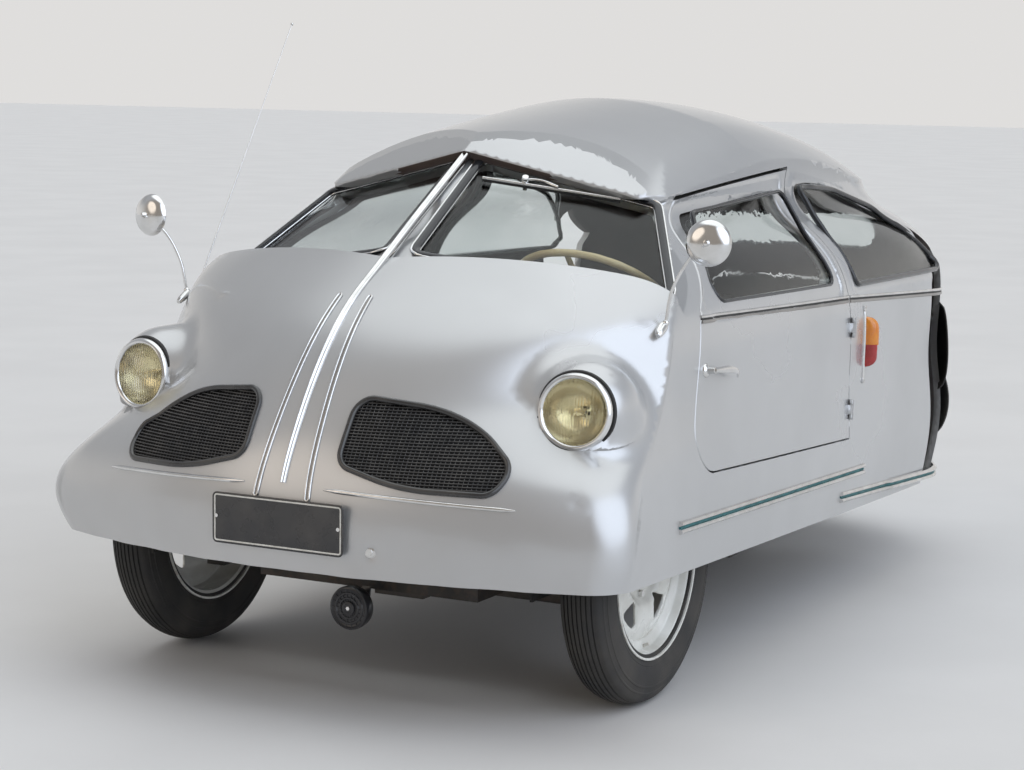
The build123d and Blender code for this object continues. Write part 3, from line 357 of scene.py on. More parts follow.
class Shape:
    """The vertices and faces of one piece while it is being put together."""

    def __init__(self) -> None:
        """Starts empty."""
        self.points: list[Sequence[float]] = []
        self.faces: list[Sequence[int]] = []
        self.kinds: list[int] = []

    def loft(self, rings: Sequence[np.ndarray], loop: bool = False, closed: bool = True, kind: int = 0,
             capped: bool = True) -> None:
        """Joins a row of rings into a skin.

        Args:
            rings: Rows of points, all with the same count.
            loop: Whether the last ring joins the first.
            closed: Whether each ring is closed.
            kind: Which of the piece's finishes the faces take.
            capped: Whether the ends of closed rings are filled.
        """
        start, count = len(self.points), len(rings[0])
        for ring in rings:
            self.points.extend(map(tuple, ring))
        across = count if closed else count - 1
        along = len(rings) if loop else len(rings) - 1
        before = len(self.faces)
        for row in range(along):
            here, there = start + row * count, start + (row + 1) % len(rings) * count
            for k in range(across):
                after = (k + 1) % count
                self.faces.append((here + k, here + after, there + after, there + k))
        if closed and capped and not loop:
            self.faces.append(tuple(start + k for k in reversed(range(count))))
            last = start + (len(rings) - 1) * count
            self.faces.append(tuple(last + k for k in range(count)))
        self.kinds.extend([kind] * (len(self.faces) - before))

    def sweep(self, path: Sequence[Vector], normals: Sequence[Vector], section: Sequence[Pair],
              loop: bool = False, kind: int = 0, scales: Optional[Sequence[Pair]] = None) -> None:
        """Carries a section along a path.

        Args:
            path: Points on the way.
            normals: Which way the section's second axis points at each of them.
            section: The closed outline, as steps across the path and along the normal.
            loop: Whether the path closes on itself.
            kind: Which of the piece's finishes the faces take.
            scales: How much wider and higher the section is at each point.
        """
        spots, up = rows_of(path), rows_of(normals)
        if loop:
            along = np.roll(spots, -1, 0) - np.roll(spots, 1, 0)
        else:
            along = np.gradient(spots, axis=0)
        along /= np.linalg.norm(along, axis=1)[:, None]
        across = np.cross(along, up)
        across /= np.linalg.norm(across, axis=1)[:, None]
        up = np.cross(across, along)
        wide, high = np.array(scales or [(1.0, 1.0)] * len(spots)).T[:, :, None]
        rings = [spots + a * wide * across + b * high * up for a, b in section]
        self.loft(list(np.stack(rings, axis=1)), loop=loop, kind=kind)

    def tube(self, path: Sequence[Vector], radius: float, sides: int = 12, loop: bool = False,
             kind: int = 0) -> None:
        """A round tube along a path.

        Args:
            path: Points on the way.
            radius: The tube's radius.
            sides: Faces round it.
            loop: Whether the path closes on itself.
            kind: Which of the piece's finishes the faces take.
        """
        spots = [Vector(p) for p in path]
        ahead = (spots[1] - spots[0]).normalized()
        up = ahead.orthogonal().normalized()
        normals = []
        for k in range(len(spots)):
            follow = (spots[min(k + 1, len(spots) - 1)] - spots[max(k - 1, 0)]).normalized()
            up = (up - follow * up.dot(follow)).normalized()
            normals.append(up.copy())
        if loop:
            middle = sum(spots, Vector()) / len(spots)
            flat = (spots[0] - middle).cross(spots[len(spots) // 4] - middle).normalized()
            normals = [flat] * len(spots)
        self.sweep(spots, normals, oval(radius, radius, sides), loop=loop, kind=kind)

    def turned(self, profile: Sequence[Pair], origin: Sequence[float], axis: Sequence[float],
               steps: int = 64, kind: int = 0, closed: bool = False) -> None:
        """Turns a profile round an axis.

        Args:
            profile: Radius and height pairs; a closed one isn't touching the axis.
            origin: A point on the axis, where height is 0.
            axis: The direction in which height grows.
            steps: Faces round the axis.
            kind: Which of the piece's finishes the faces take.
            closed: Whether the profile is a closed loop.
        """
        up = Vector(axis).normalized()
        first = up.orthogonal().normalized()
        second = up.cross(first)
        rings = []
        for k in range(steps):
            angle = 2 * math.pi * k / steps
            out = first * math.cos(angle) + second * math.sin(angle)
            rings.append(rows_of(Vector(origin) + out * r + up * h for r, h in profile))
        self.loft(rings, loop=True, closed=closed, kind=kind)

    def piece(self, name: str, finishes: Sequence[Finish], body: str = "body", replaces: Sequence[str] = (),
              sharp: float = 40.0) -> bpy.types.Object:
        """Makes the object, dresses it and puts it on its body.

        Args:
            name: The piece's name.
            finishes: The finishes that the faces' kinds point at.
            body: The body that it rides on.
            replaces: The frame's nodes that it stands for.
            sharp: The angle in degrees above which an edge is drawn sharp.

        Returns:
            The object.
        """
        mesh = bpy.data.meshes.new(name)
        mesh.from_pydata([tuple(p) for p in self.points], [], self.faces)
        mesh.polygons.foreach_set("material_index", self.kinds)
        work = bmesh.new()
        work.from_mesh(mesh)
        bmesh.ops.remove_doubles(work, verts=work.verts, dist=1e-6)
        bmesh.ops.dissolve_degenerate(work, edges=work.edges, dist=1e-7)
        bmesh.ops.recalc_face_normals(work, faces=work.faces)
        work.to_mesh(mesh)
        work.free()
        return settle(name, mesh, finishes, body, replaces, sharp)


def rows_of(points: Iterable[Sequence[float]]) -> np.ndarray:
    """Points as the rows of an array."""
    return np.array([tuple(p) for p in points], float)


def vertex_rows(mesh: bpy.types.Mesh) -> np.ndarray:
    """The places of a mesh's vertices as rows."""
    found = np.empty(len(mesh.vertices) * 3)
    mesh.vertices.foreach_get("co", found)
    return found.reshape(-1, 3)


def move_vertices(mesh: bpy.types.Mesh, spots: np.ndarray) -> None:
    """Puts a mesh's vertices at new places."""
    mesh.vertices.foreach_set("co", spots.ravel())
    mesh.update()


def oval(half_wide: float, half_high: float, sides: int) -> list[Pair]:
    """A closed round or oval section."""
    turns = np.linspace(0, 2 * math.pi, sides, endpoint=False)
    return [(half_wide * math.cos(a), half_high * math.sin(a)) for a in turns]


def ball(radius: float, steps: int) -> list[Pair]:
    """A ball's profile, from its low pole to its high one."""
    return [(radius * math.sin(a), -radius * math.cos(a)) for a in np.linspace(0, math.pi, steps)]


def settle(name: str, mesh: bpy.types.Mesh, finishes: Sequence[Finish], body: str,
           replaces: Sequence[str] = (), sharp: Optional[float] = 40.0) -> bpy.types.Object:
    """Turns a finished mesh into a dressed piece on its body.

    Args:
        name: The piece's name.
        mesh: Its mesh, in place.
        finishes: One finish for each material index.
        body: The body that it rides on.
        replaces: The frame's nodes that it stands for.
        sharp: The angle in degrees above which an edge is drawn sharp, or None to leave the normals.

    Returns:
        The object.
    """
    kinds = np.empty(len(mesh.polygons), int)
    mesh.polygons.foreach_get("material_index", kinds)
    mesh.materials.clear()
    for finish in finishes:
        mesh.materials.append(finish.material())
    mesh.polygons.foreach_set("material_index", kinds)
    if sharp is not None:
        mesh.shade_smooth()
        mesh.set_sharp_from_angle(angle=math.radians(sharp))
    piece = bpy.data.objects.new(name, mesh)
    bpy.context.scene.collection.objects.link(piece)
    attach(piece, body)
    if replaces:
        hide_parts(*replaces)
    LOG.info("%s on %s: %d faces", name, body, len(mesh.polygons))
    return piece


class Repeater:
    """Geometry-node trees for what repeats: fasteners set on points, and wires along lines."""

    def __init__(self) -> None:
        """Builds both trees."""
        self.fasteners = self.fastener_tree()
        self.wires = self.wire_tree()

    @staticmethod
    def tree(name: str, numbers: dict[str, str]) -> tuple[Graph, bpy.types.Node, bpy.types.Node]:
        """An empty tree with a geometry input, number inputs and a material input.

        Args:
            name: The tree's name.
            numbers: Input name to socket type.

        Returns:
            The graph, the input node and the output node.
        """
        tree = bpy.data.node_groups.new(name, "GeometryNodeTree")
        tree.interface.new_socket(name="Geometry", in_out="INPUT", socket_type="NodeSocketGeometry")
        for label, kind in numbers.items():
            tree.interface.new_socket(name=label, in_out="INPUT", socket_type=kind)
        tree.interface.new_socket(name="Material", in_out="INPUT", socket_type="NodeSocketMaterial")
        tree.interface.new_socket(name="Geometry", in_out="OUTPUT", socket_type="NodeSocketGeometry")
        graph = Graph(tree)
        return graph, graph.add("NodeGroupInput"), graph.add("NodeGroupOutput")

    @staticmethod
    def closed(graph: Graph, given: bpy.types.Node, made: bpy.types.Node,
               last: bpy.types.Node) -> bpy.types.NodeTree:
        """Ends a tree: real copies, then their material.

        Args:
            graph: The tree's graph.
            given: Its input node.
            made: Its output node.
            last: The node whose first output is the geometry so far.

        Returns:
            The finished tree.
        """
        real = graph.add("GeometryNodeRealizeInstances", {"Geometry": last.outputs[0]})
        inputs = {"Geometry": real.outputs[0], "Material": given.outputs["Material"]}
        dressed = graph.add("GeometryNodeSetMaterial", inputs)
        graph.put(made.inputs["Geometry"], dressed.outputs[0])
        return graph.tree

    def fastener_tree(self) -> bpy.types.NodeTree:
        """Small turned heads on the points of a mesh, each facing the way its aim attribute says."""
        sizes = {"Radius": "NodeSocketFloat", "Height": "NodeSocketFloat", "Sides": "NodeSocketInt"}
        graph, given, made = self.tree("fasteners_on_points", sizes)
        head = graph.add("GeometryNodeMeshCylinder", {
            "Vertices": given.outputs["Sides"], "Radius": given.outputs["Radius"],
            "Depth": given.outputs["Height"],
        })
        aim = graph.add("GeometryNodeInputNamedAttribute", {"Name": "aim"}, data_type="FLOAT_VECTOR")
        turn = graph.add("FunctionNodeAlignRotationToVector", {"Vector": aim.outputs[0]}, axis="Z")
        copies = graph.add("GeometryNodeInstanceOnPoints", {
            "Points": given.outputs["Geometry"], "Instance": head.outputs["Mesh"],
            "Rotation": turn.outputs[0],
        })
        return self.closed(graph, given, made, copies)

    def wire_tree(self) -> bpy.types.NodeTree:
        """Round bars along the edges of a mesh."""
        sizes = {"Radius": "NodeSocketFloat", "Sides": "NodeSocketInt"}
        graph, given, made = self.tree("wires_on_lines", sizes)
        line = graph.add("GeometryNodeMeshToCurve", {"Mesh": given.outputs["Geometry"]})
        round_bar = graph.add("GeometryNodeCurvePrimitiveCircle", {
            "Resolution": given.outputs["Sides"], "Radius": given.outputs["Radius"],
        })
        bars = graph.add("GeometryNodeCurveToMesh", {
            "Curve": line.outputs[0], "Profile Curve": round_bar.outputs["Curve"], "Fill Caps": True,
        })
        return self.closed(graph, given, made, bars)

    @staticmethod
    def run(name: str, base: bpy.types.Mesh, tree: bpy.types.NodeTree, values: dict[str, object],
            finish: Finish, body: str, sharp: float) -> bpy.types.Object:
        """Runs a tree on a base mesh and keeps the result as a plain mesh.

        Args:
            name: The piece's name.
            base: The points or lines that the tree works on.
            tree: The geometry-node tree.
            values: Input name to value.
            finish: The finish of all faces.
            body: The body that the piece rides on.
            sharp: The angle in degrees above which an edge is drawn sharp.

        Returns:
            The piece.
        """
        holder = bpy.data.objects.new(name + "_base", base)
        bpy.context.scene.collection.objects.link(holder)
        modifier = holder.modifiers.new("repeat", "NODES")
        modifier.node_group = tree
        given = {**values, "Material": finish.material()}
        for item in tree.interface.items_tree:
            if item.in_out == "INPUT" and item.name in given:
                modifier[item.identifier] = given[item.name]
        evaluated = holder.evaluated_get(bpy.context.evaluated_depsgraph_get())
        mesh = bpy.data.meshes.new_from_object(evaluated)
        mesh.name = name
        bpy.data.objects.remove(holder)
        return settle(name, mesh, [finish], body, sharp=sharp)

    def heads(self, name: str, points: Sequence[Vector], aims: Sequence[Vector], radius: float,
              height: float, finish: Finish, body: str = "body", sides: int = 16) -> bpy.types.Object:
        """Fastener heads on points.

        Args:
            name: The piece's name.
            points: Where the heads' middles are.
            aims: Which way each faces.
            radius: Their radius.
            height: Their height.
            finish: Their finish.
            body: The body that they ride on.
            sides: 6 for a hexagon, more for a round head.

        Returns:
            The piece.
        """
        base = bpy.data.meshes.new(name + "_points")
        base.from_pydata([tuple(p) for p in points], [], [])
        attribute = base.attributes.new("aim", "FLOAT_VECTOR", "POINT")
        attribute.data.foreach_set("vector", rows_of(aims).ravel())
        values = {"Radius": radius, "Height": height, "Sides": sides}
        return self.run(name, base, self.fasteners, values, finish, body, 35.0)

    def bars(self, name: str, lines: Sequence[Sequence[Vector]], radius: float, finish: Finish,
             body: str = "body", sides: int = 6) -> bpy.types.Object:
        """Thin round bars along lines.

        Args:
            name: The piece's name.
            lines: Rows of points.
            radius: The bars' radius.
            finish: Their finish.
            body: The body that they ride on.
            sides: Faces round each bar.

        Returns:
            The piece.
        """
        points, edges = [], []
        for line in lines:
            edges.extend((len(points) + k, len(points) + k + 1) for k in range(len(line) - 1))
            points.extend(tuple(p) for p in line)
        base = bpy.data.meshes.new(name + "_lines")
        base.from_pydata(points, edges, [])
        return self.run(name, base, self.wires, {"Radius": radius, "Sides": sides}, finish, body, 70.0)


REPEAT = Repeater()


def smooth_line(points: Sequence[Sequence[float]], count: int) -> list[Vector]:
    """A smooth line through a few points.

    Args:
        points: Points that it goes through, in two or three dimensions.
        count: How many points come back.

    Returns:
        Evenly spread points along it.
    """
    spots = rows_of(points)
    reach = np.r_[0, np.cumsum(np.linalg.norm(np.diff(spots, axis=0), axis=1))]
    slopes = np.gradient(spots, reach, axis=0)
    where = np.linspace(0, reach[-1], count)
    found = []
    for at in where:
        k = min(int(np.searchsorted(reach, at, side="right")) - 1, len(spots) - 2)
        span = reach[k + 1] - reach[k]
        t = (at - reach[k]) / span
        value = (
            (2 * t**3 - 3 * t**2 + 1) * spots[k] + (t**3 - 2 * t**2 + t) * span * slopes[k]
            + (3 * t**2 - 2 * t**3) * spots[k + 1] + (t**3 - t**2) * span * slopes[k + 1]
        )
        found.append(Vector(value))
    return found


def rounded_loop(corners: Sequence[Pair], radii: Sequence[float], pitch: float = 0.012) -> list[Pair]:
    """A closed outline with rounded corners.

    Args:
        corners: Its corners in order.
        radii: One radius for each corner.
        pitch: About how far apart the points are.

    Returns:
        Points in order round the outline.
    """
    spots = [Vector(c) for c in corners]
    found: list[Vector] = []
    for k, corner in enumerate(spots):
        back = (spots[k - 1] - corner).normalized()
        ahead = (spots[(k + 1) % len(spots)] - corner).normalized()
        half = back.angle(ahead) / 2
        reach = radii[k] / math.tan(half)
        start, end = corner + back * reach, corner + ahead * reach
        centre = corner + (back + ahead).normalized() * (radii[k] / math.sin(half))
        steps = max(4, int(radii[k] * (math.pi - 2 * half) / pitch))
        if found:
            before = found[-1]
            run = max(1, int((start - before).length / pitch))
            found.extend(before.lerp(start, s / run) for s in range(1, run))
        first, last = start - centre, end - centre
        found.extend(centre + turned_between(first, last, s / steps) for s in range(steps + 1))
    before = found[-1]
    run = max(1, int((found[0] - before).length / pitch))
    found.extend(before.lerp(found[0], s / run) for s in range(1, run))
    return [tuple(p) for p in found]


def turned_between(first: Vector, last: Vector, share: float) -> Vector:
    """A flat vector part of the way round from one to another."""
    angle = first.angle_signed(last) * share
    c, s = math.cos(-angle), math.sin(-angle)
    return Vector((first.x * c - first.y * s, first.x * s + first.y * c))


def grown(outline: Sequence[Pair], amount: float) -> list[Pair]:
    """A closed outline moved outwards by an amount."""
    flat = rows_of(outline)
    ahead = np.roll(flat, -1, 0)
    area = np.sum(flat[:, 0] * ahead[:, 1] - ahead[:, 0] * flat[:, 1])
    along = ahead - np.roll(flat, 1, 0)
    out = np.c_[along[:, 1], -along[:, 0]] * math.copysign(1.0, area)
    out /= np.linalg.norm(out, axis=1)[:, None]
    return [tuple(p) for p in flat + amount * out]


def half_round(offset: float, half: float, height: float) -> list[Pair]:
    """A half-round moulding's section, at an offset across its path."""
    rows = ((-1.0, -0.3), (-1.0, 0.35), (-0.62, 0.82), (0.0, 1.0), (0.62, 0.82), (1.0, 0.35), (1.0, -0.3))
    return [(offset + half * a, height * b) for a, b in rows]


def place(x: float, y: float, z: float, side: int = 1) -> Vector:
    """A place given with y from the front axle, mirrored for the car's right side."""
    return Vector((side * x, y + AXLE_Y, z))


def circle_through(a: np.ndarray, b: np.ndarray, c: np.ndarray) -> tuple[np.ndarray, float]:
    """The centre and radius of the circle through three flat points."""
    rows = 2 * np.array([b - a, c - a])
    centre = np.linalg.solve(rows, np.array([b @ b - a @ a, c @ c - a @ a]))
    return centre, float(np.linalg.norm(a - centre))


def arc_points(centre: np.ndarray, start: np.ndarray, end: np.ndarray, turn: float,
               count: int) -> np.ndarray:
    """Points on an arc.

    Args:
        centre: The arc's centre.
        start: Where it starts.
        end: Where it ends.
        turn: Its sign says which way the arc turns.
        count: How many points come back.

    Returns:
        The points as rows.
    """
    first, last = start - centre, end - centre
    low, high = math.atan2(first[1], first[0]), math.atan2(last[1], last[0])
    while (high - low) * turn < 0:
        high += math.copysign(2 * math.pi, turn)
    angles = np.linspace(low, high, count)
    return centre + np.linalg.norm(first) * np.c_[np.cos(angles), np.sin(angles)]


@dataclass
class Dent:
    """A shallow dent: where it is, how wide and how deep."""

    place: tuple[float, float, float]
    width: float
    depth: float


@dataclass
class BodyForm:
    """The smooth outer form that the body panels lie on, as levels, a roof crown and two lamp housings.

    Each level's columns: height, nose y, corner x and y, shoulder x and y, flank x and y, hip x and y,
    heel x and y, tail y, with y from the front axle.
    """

    levels: tuple = (
        (0.170, -0.556, 0.712, -0.436, 0.778, -0.330, 0.726, 0.750, 0.675, 2.030, 0.380, 2.470, 2.545),
        (0.350, -0.578, 0.705, -0.430, 0.772, -0.325, 0.732, 0.750, 0.685, 2.030, 0.395, 2.500, 2.603),
        (0.560, -0.565, 0.688, -0.395, 0.756, -0.240, 0.732, 0.750, 0.685, 2.030, 0.395, 2.500, 2.605),
        (0.740, -0.466, 0.560, -0.235, 0.718, -0.050, 0.724, 0.750, 0.680, 2.030, 0.390, 2.490, 2.590),
        (0.900, -0.333, 0.588, -0.100, 0.698, 0.040, 0.706, 0.750, 0.675, 2.040, 0.385, 2.470, 2.535),
        (1.050, -0.092, 0.520, 0.090, 0.606, 0.215, 0.612, 0.800, 0.580, 2.010, 0.345, 2.400, 2.450),
        (1.210, 0.140, 0.430, 0.320, 0.506, 0.440, 0.511, 0.900, 0.480, 1.870, 0.270, 2.190, 2.255),
        (1.450, 0.530, 0.270, 0.640, 0.352, 0.740, 0.358, 1.060, 0.330, 1.600, 0.190, 1.850, 1.910),
    )
    crown: tuple = ((0.100, 1.300), (0.560, 1.368), (1.040, 1.422), (1.850, 1.343), (2.660, 1.105))
    crown_axis_z: float = 0.450
    crown_low_z: float = 0.930
    crown_front_y: float = 0.120
    crown_fade: float = 4.0
    visor_faces: Pair = (0.30, 0.55)
    visor_reach: float = 0.3
    roof_blend: float = 0.075
    lamp: tuple = (0.606, -0.290, 0.733)
    lamp_yaw: float = math.radians(8.0)
    lamp_tilt: float = math.radians(6.0)
    housing: tuple = ((0.095, -0.010), (0.123, -0.085), (0.085, -0.190))
    housing_fade: float = 3.0
    lamp_blend: float = 0.062
    dents: tuple = (
        Dent((0.668, -0.405, 0.545), 0.012, 0.0035),
        Dent((0.640, -0.440, 0.470), 0.009, 0.003),
        Dent((0.735, 1.560, 0.480), 0.030, 0.002),
        Dent((0.300, -0.560, 0.395), 0.050, 0.003),
        Dent((-0.480, -0.520, 0.470), 0.090, 0.003),
        Dent((0.239, -0.575, 0.416), 0.016, 0.006),
    )
    wave_depth: float = 0.0022
    wave_top_z: float = 0.52
    wave_fade: float = 0.16
    wave_back_y: float = -0.25
    wave_fade_back: float = 0.15
    arc_steps: int = 36
    level_steps: int = 170
    tries: int = 7

    def __post_init__(self) -> None:
        """Makes the surface that distances are measured from."""
        steps = self.arc_steps
        outlines = np.array([self.half_outline(row, steps) for row in self.levels])
        reach = np.linalg.norm(np.diff(outlines, axis=0), axis=2).mean(1)
        knots = np.r_[0, np.cumsum(reach)]
        grid = self.spline(knots, outlines, np.linspace(0, knots[-1], self.level_steps))
        up = np.gradient(grid, axis=0)
        along = np.gradient(grid, axis=1)
        normals = np.cross(along, up)
        normals /= np.linalg.norm(normals, axis=2)[..., None]
        normals[:, 0, 0] = normals[:, -1, 0] = 0.0
        rows, columns = grid.shape[:2]
        self.spots = grid.reshape(-1, 3)
        self.normals = normals.reshape(-1, 3)
        faces = []
        for r in range(rows - 1):
            for c in range(columns - 1):
                k = r * columns + c
                faces.append((k, k + 1, k + columns + 1))
                faces.append((k, k + columns + 1, k + columns))
        self.faces = np.array(faces)
        self.tree = BVHTree.FromPolygons([tuple(p) for p in self.spots], faces)
        first = [np.array(p) for p in self.crown[:3]]
        second = [np.array(p) for p in self.crown[2:]]
        self.crown_arcs = (circle_through(*first), circle_through(*second))
        self.housing_arc = circle_through(*[np.array(p) for p in self.housing])
        self.lamp_out = np.array((
            math.sin(self.lamp_yaw) * math.cos(self.lamp_tilt),
            -math.cos(self.lamp_yaw) * math.cos(self.lamp_tilt),
            math.sin(self.lamp_tilt),
        ))

    @staticmethod
    def half_outline(row: Sequence[float], steps: int) -> np.ndarray:
        """The left half of one level's outline, from the nose to the tail.

        Args:
            row: The level's columns.
            steps: Points on each of its five arcs.

        Returns:
            Points in three dimensions.
        """
        height, nose, *rest, tail = row
        corner, shoulder, flank, hip, heel = np.array(rest).reshape(5, 2)
        flip = np.array((-1.0, 1.0))
        front_mid, back_mid = np.array((0.0, nose)), np.array((0.0, tail))
        centre, _ = circle_through(corner * flip, front_mid, corner)
        front = arc_points(centre, front_mid, corner, 1.0, steps)
        bend = BodyForm.tangent_arc(corner, shoulder, front[-1] - centre, 1.0, steps)
        side_centre, _ = circle_through(shoulder, flank, hip)
        turn = np.sign(np.cross(flank - shoulder, hip - flank))
        side = arc_points(side_centre, shoulder, hip, turn, steps)
        end = BodyForm.tangent_arc(hip, heel, side[-1] - side_centre, turn, steps)
        back_centre, _ = circle_through(heel, back_mid, heel * flip)
        back = arc_points(back_centre, heel, back_mid, 1.0, steps)
        flat = np.vstack([front, bend[1:], side[1:], end[1:], back[1:]])
        return np.c_[flat, np.full(len(flat), height)]

    @staticmethod
    def tangent_arc(start: np.ndarray, end: np.ndarray, spoke: np.ndarray, turn: float,
                    steps: int) -> np.ndarray:
        """An arc to an end point that goes on smoothly from another arc.

        Args:
            start: Where it starts.
            end: Where it ends.
            spoke: From the other arc's centre to the start.
            turn: The sign of the other arc's turn.
            steps: How many points come back.

        Returns:
            Points along the arc.
        """
        inward = -spoke / np.linalg.norm(spoke)
        reach = end - start
        centre = start + inward * (reach @ reach) / (2 * (reach @ inward))
        forward = np.array((-spoke[1], spoke[0])) * turn
        sense = np.sign(np.cross(start - centre, forward))
        return arc_points(centre, start, end, float(sense), steps)

    @staticmethod
    def spline(knots: np.ndarray, rows: np.ndarray, where: np.ndarray) -> np.ndarray:
        """A cubic spline through rows of points, with its end pieces shared by two spans.

        Args:
            knots: Each row's place along the spline.
            rows: The rows.
            where: The places that are asked for.

        Returns:
            One row of points for each place.
        """
        count, gaps = len(knots), np.diff(knots)
        matrix = np.zeros((count, count))
        matrix[0, :3] = gaps[1], -(gaps[0] + gaps[1]), gaps[0]
        matrix[-1, -3:] = gaps[-1], -(gaps[-2] + gaps[-1]), gaps[-2]
        target = np.zeros_like(rows)
        for i in range(1, count - 1):
            matrix[i, i - 1:i + 2] = gaps[i - 1], 2 * (gaps[i - 1] + gaps[i]), gaps[i]
            target[i] = 6 * ((rows[i + 1] - rows[i]) / gaps[i] - (rows[i] - rows[i - 1]) / gaps[i - 1])
        bends = np.linalg.solve(matrix, target.reshape(count, -1)).reshape(rows.shape)
        i = np.clip(np.searchsorted(knots, where) - 1, 0, count - 2)
        gap = gaps[i][:, None, None]
        a = (knots[i + 1] - where)[:, None, None] / gap
        b = 1 - a
        curve = ((a**3 - a) * bends[i] + (b**3 - b) * bends[i + 1]) * gap**2 / 6
        return a * rows[i] + b * rows[i + 1] + curve

    def walls(self, points: np.ndarray) -> tuple[np.ndarray, np.ndarray]:
        """Measures points on the left half against the lofted walls.

        Args:
            points: Rows of points, with y from the front axle.

        Returns:
            Each point's distance from the walls, and the walls' normal there.
        """
        places, faces = np.empty_like(points), np.empty(len(points), int)
        find = self.tree.find_nearest
        for k, point in enumerate(points):
            place, _, face, _ = find(point)
            places[k], faces[k] = place, face
        corners = self.faces[faces]
        a, b, c = (self.spots[corners[:, k]] for k in range(3))
        ab, ac, ap = b - a, c - a, places - a
        whole = np.linalg.norm(np.cross(ab, ac), axis=1)
        v = np.linalg.norm(np.cross(ap, ac), axis=1) / whole
        w = np.linalg.norm(np.cross(ab, ap), axis=1) / whole
        u = 1 - v - w
        normals = sum(s[:, None] * self.normals[corners[:, k]] for k, s in enumerate((u, v, w)))
        normals /= np.linalg.norm(normals, axis=1)[:, None]
        return np.einsum("ij,ij->i", points - places, normals), normals

    def roof(self, points: np.ndarray) -> tuple[np.ndarray, np.ndarray]:
        """Measures points against the roof's crown.

        Args:
            points: Rows of points, with y from the front axle.

        Returns:
            Each point's distance from the crown, and the crown's normal there.
        """
        x, y, z = points.T
        height, slope = np.empty_like(y), np.empty_like(y)
        for (centre, radius), use in zip(self.crown_arcs, (y < self.crown[2][0], y >= self.crown[2][0])):
            rise = np.sqrt(np.maximum(radius**2 - (y[use] - centre[0])**2, 1e-6))
            height[use] = centre[1] + rise
            slope[use] = -(y[use] - centre[0]) / rise
        reach = np.hypot(x, z - self.crown_axis_z)
        tilt = np.sqrt(1 + slope**2)
        distance = (reach - (height - self.crown_axis_z)) / tilt
        normals = np.c_[x / reach, -slope, (z - self.crown_axis_z) / reach] / tilt[:, None]
        distance -= self.crown_fade * np.maximum(0, self.crown_low_z - z)
        distance -= self.crown_fade * np.maximum(0, self.crown_front_y - y)
        return distance, normals

    def housings(self, points: np.ndarray) -> tuple[np.ndarray, np.ndarray]:
        """Measures points on the left half against the lamp's housing.

        Args:
            points: Rows of points, with y from the front axle.

        Returns:
            Each point's distance from the housing, and the housing's normal there.
        """
        centre, radius = self.housing_arc
        rel = points - np.array(self.lamp)
        depth = rel @ self.lamp_out
        flat = rel - depth[:, None] * self.lamp_out
        reach = np.linalg.norm(flat, axis=1)
        flat /= np.maximum(reach, 1e-9)[:, None]
        step = np.c_[reach - centre[0], depth - centre[1]]
        length = np.maximum(np.linalg.norm(step, axis=1), 1e-9)
        normals = (step[:, :1] * flat + step[:, 1:] * self.lamp_out) / length[:, None]
        distance = length - radius
        distance += self.housing_fade * np.maximum(0, depth - self.housing[0][1])
        return distance, normals

    def measure(self, points: np.ndarray, visor: bool = False) -> tuple[np.ndarray, np.ndarray, np.ndarray]:
        """Measures points against the form.

        Args:
            points: Rows of points in the frame.
            visor: Whether the roof runs on past the screen, as the roof panel's front edge does.

        Returns:
            Distance from the smooth form, distance from the same form with hard creases, and normals.
        """
        local = points - np.array((0.0, AXLE_Y, 0.0))
        side = np.where(local[:, 0] < 0, -1.0, 1.0)
        local[:, 0] *= side
        wall, wall_n = self.walls(local)
        roof, roof_n = self.roof(local)
        if visor:
            low, high = self.visor_faces
            wall = wall - self.visor_reach * np.clip((-wall_n[:, 1] - low) / (high - low), 0, 1)
        near = np.maximum(self.roof_blend - np.abs(wall - roof), 0) / self.roof_blend
        share = np.where(wall > roof, 1 - near / 2, near / 2)[:, None]
        both = np.maximum(wall, roof) + near**2 * self.roof_blend / 4
        normals = share * wall_n + (1 - share) * roof_n
        lamp, lamp_n = self.housings(local)
        near = np.maximum(self.lamp_blend - np.abs(both - lamp), 0) / self.lamp_blend
        share = np.where(both < lamp, 1 - near / 2, near / 2)[:, None]
        smooth = np.minimum(both, lamp) - near**2 * self.lamp_blend / 4
        normals = share * normals + (1 - share) * lamp_n
        hard = np.minimum(np.maximum(wall, roof), lamp)
        normals /= np.linalg.norm(normals, axis=1)[:, None]
        normals[:, 0] *= side
        return smooth, hard, normals

    def damage(self, points: np.ndarray) -> np.ndarray:
        """How far the panels are pressed in by dents and by the wavy lower front.

        Args:
            points: Rows of points in the frame.

        Returns:
            One depth for each point.
        """
        x, y, z = (points - np.array((0.0, AXLE_Y, 0.0))).T
        depth = np.zeros(len(points))
        for dent in self.dents:
            far = (x - dent.place[0])**2 + (y - dent.place[1])**2 + (z - dent.place[2])**2
            depth += dent.depth * np.exp(-far / dent.width**2)
        low = np.clip((self.wave_top_z - z) / self.wave_fade, 0, 1)**2
        low *= np.clip((self.wave_back_y - y) / self.wave_fade_back, 0, 1)
        ripple = np.sin(x * 21 + 0.6) * np.sin(z * 38 + x * 7) + 0.6 * np.sin(x * 47 + z * 25)
        return depth + self.wave_depth * low * ripple

    def onto(self, starts: np.ndarray, way: Sequence[float]) -> tuple[np.ndarray, np.ndarray]:
        """Follows a direction from points near the skin onto it.

        Args:
            starts: Rows of points in the frame.
            way: The direction to move in.

        Returns:
            The places on the skin and its normals there.
        """
        spots, step = np.array(starts, float), np.array(way, float)
        normals = np.tile(step, (len(spots), 1))
        for _ in range(self.tries):
            smooth, _, normals = self.measure(spots)
            slide = normals @ step
            slide = np.copysign(np.maximum(np.abs(slide), 0.2), slide)
            spots = spots - step * (smooth / slide)[:, None]
        return spots, normals


FORM = BodyForm()


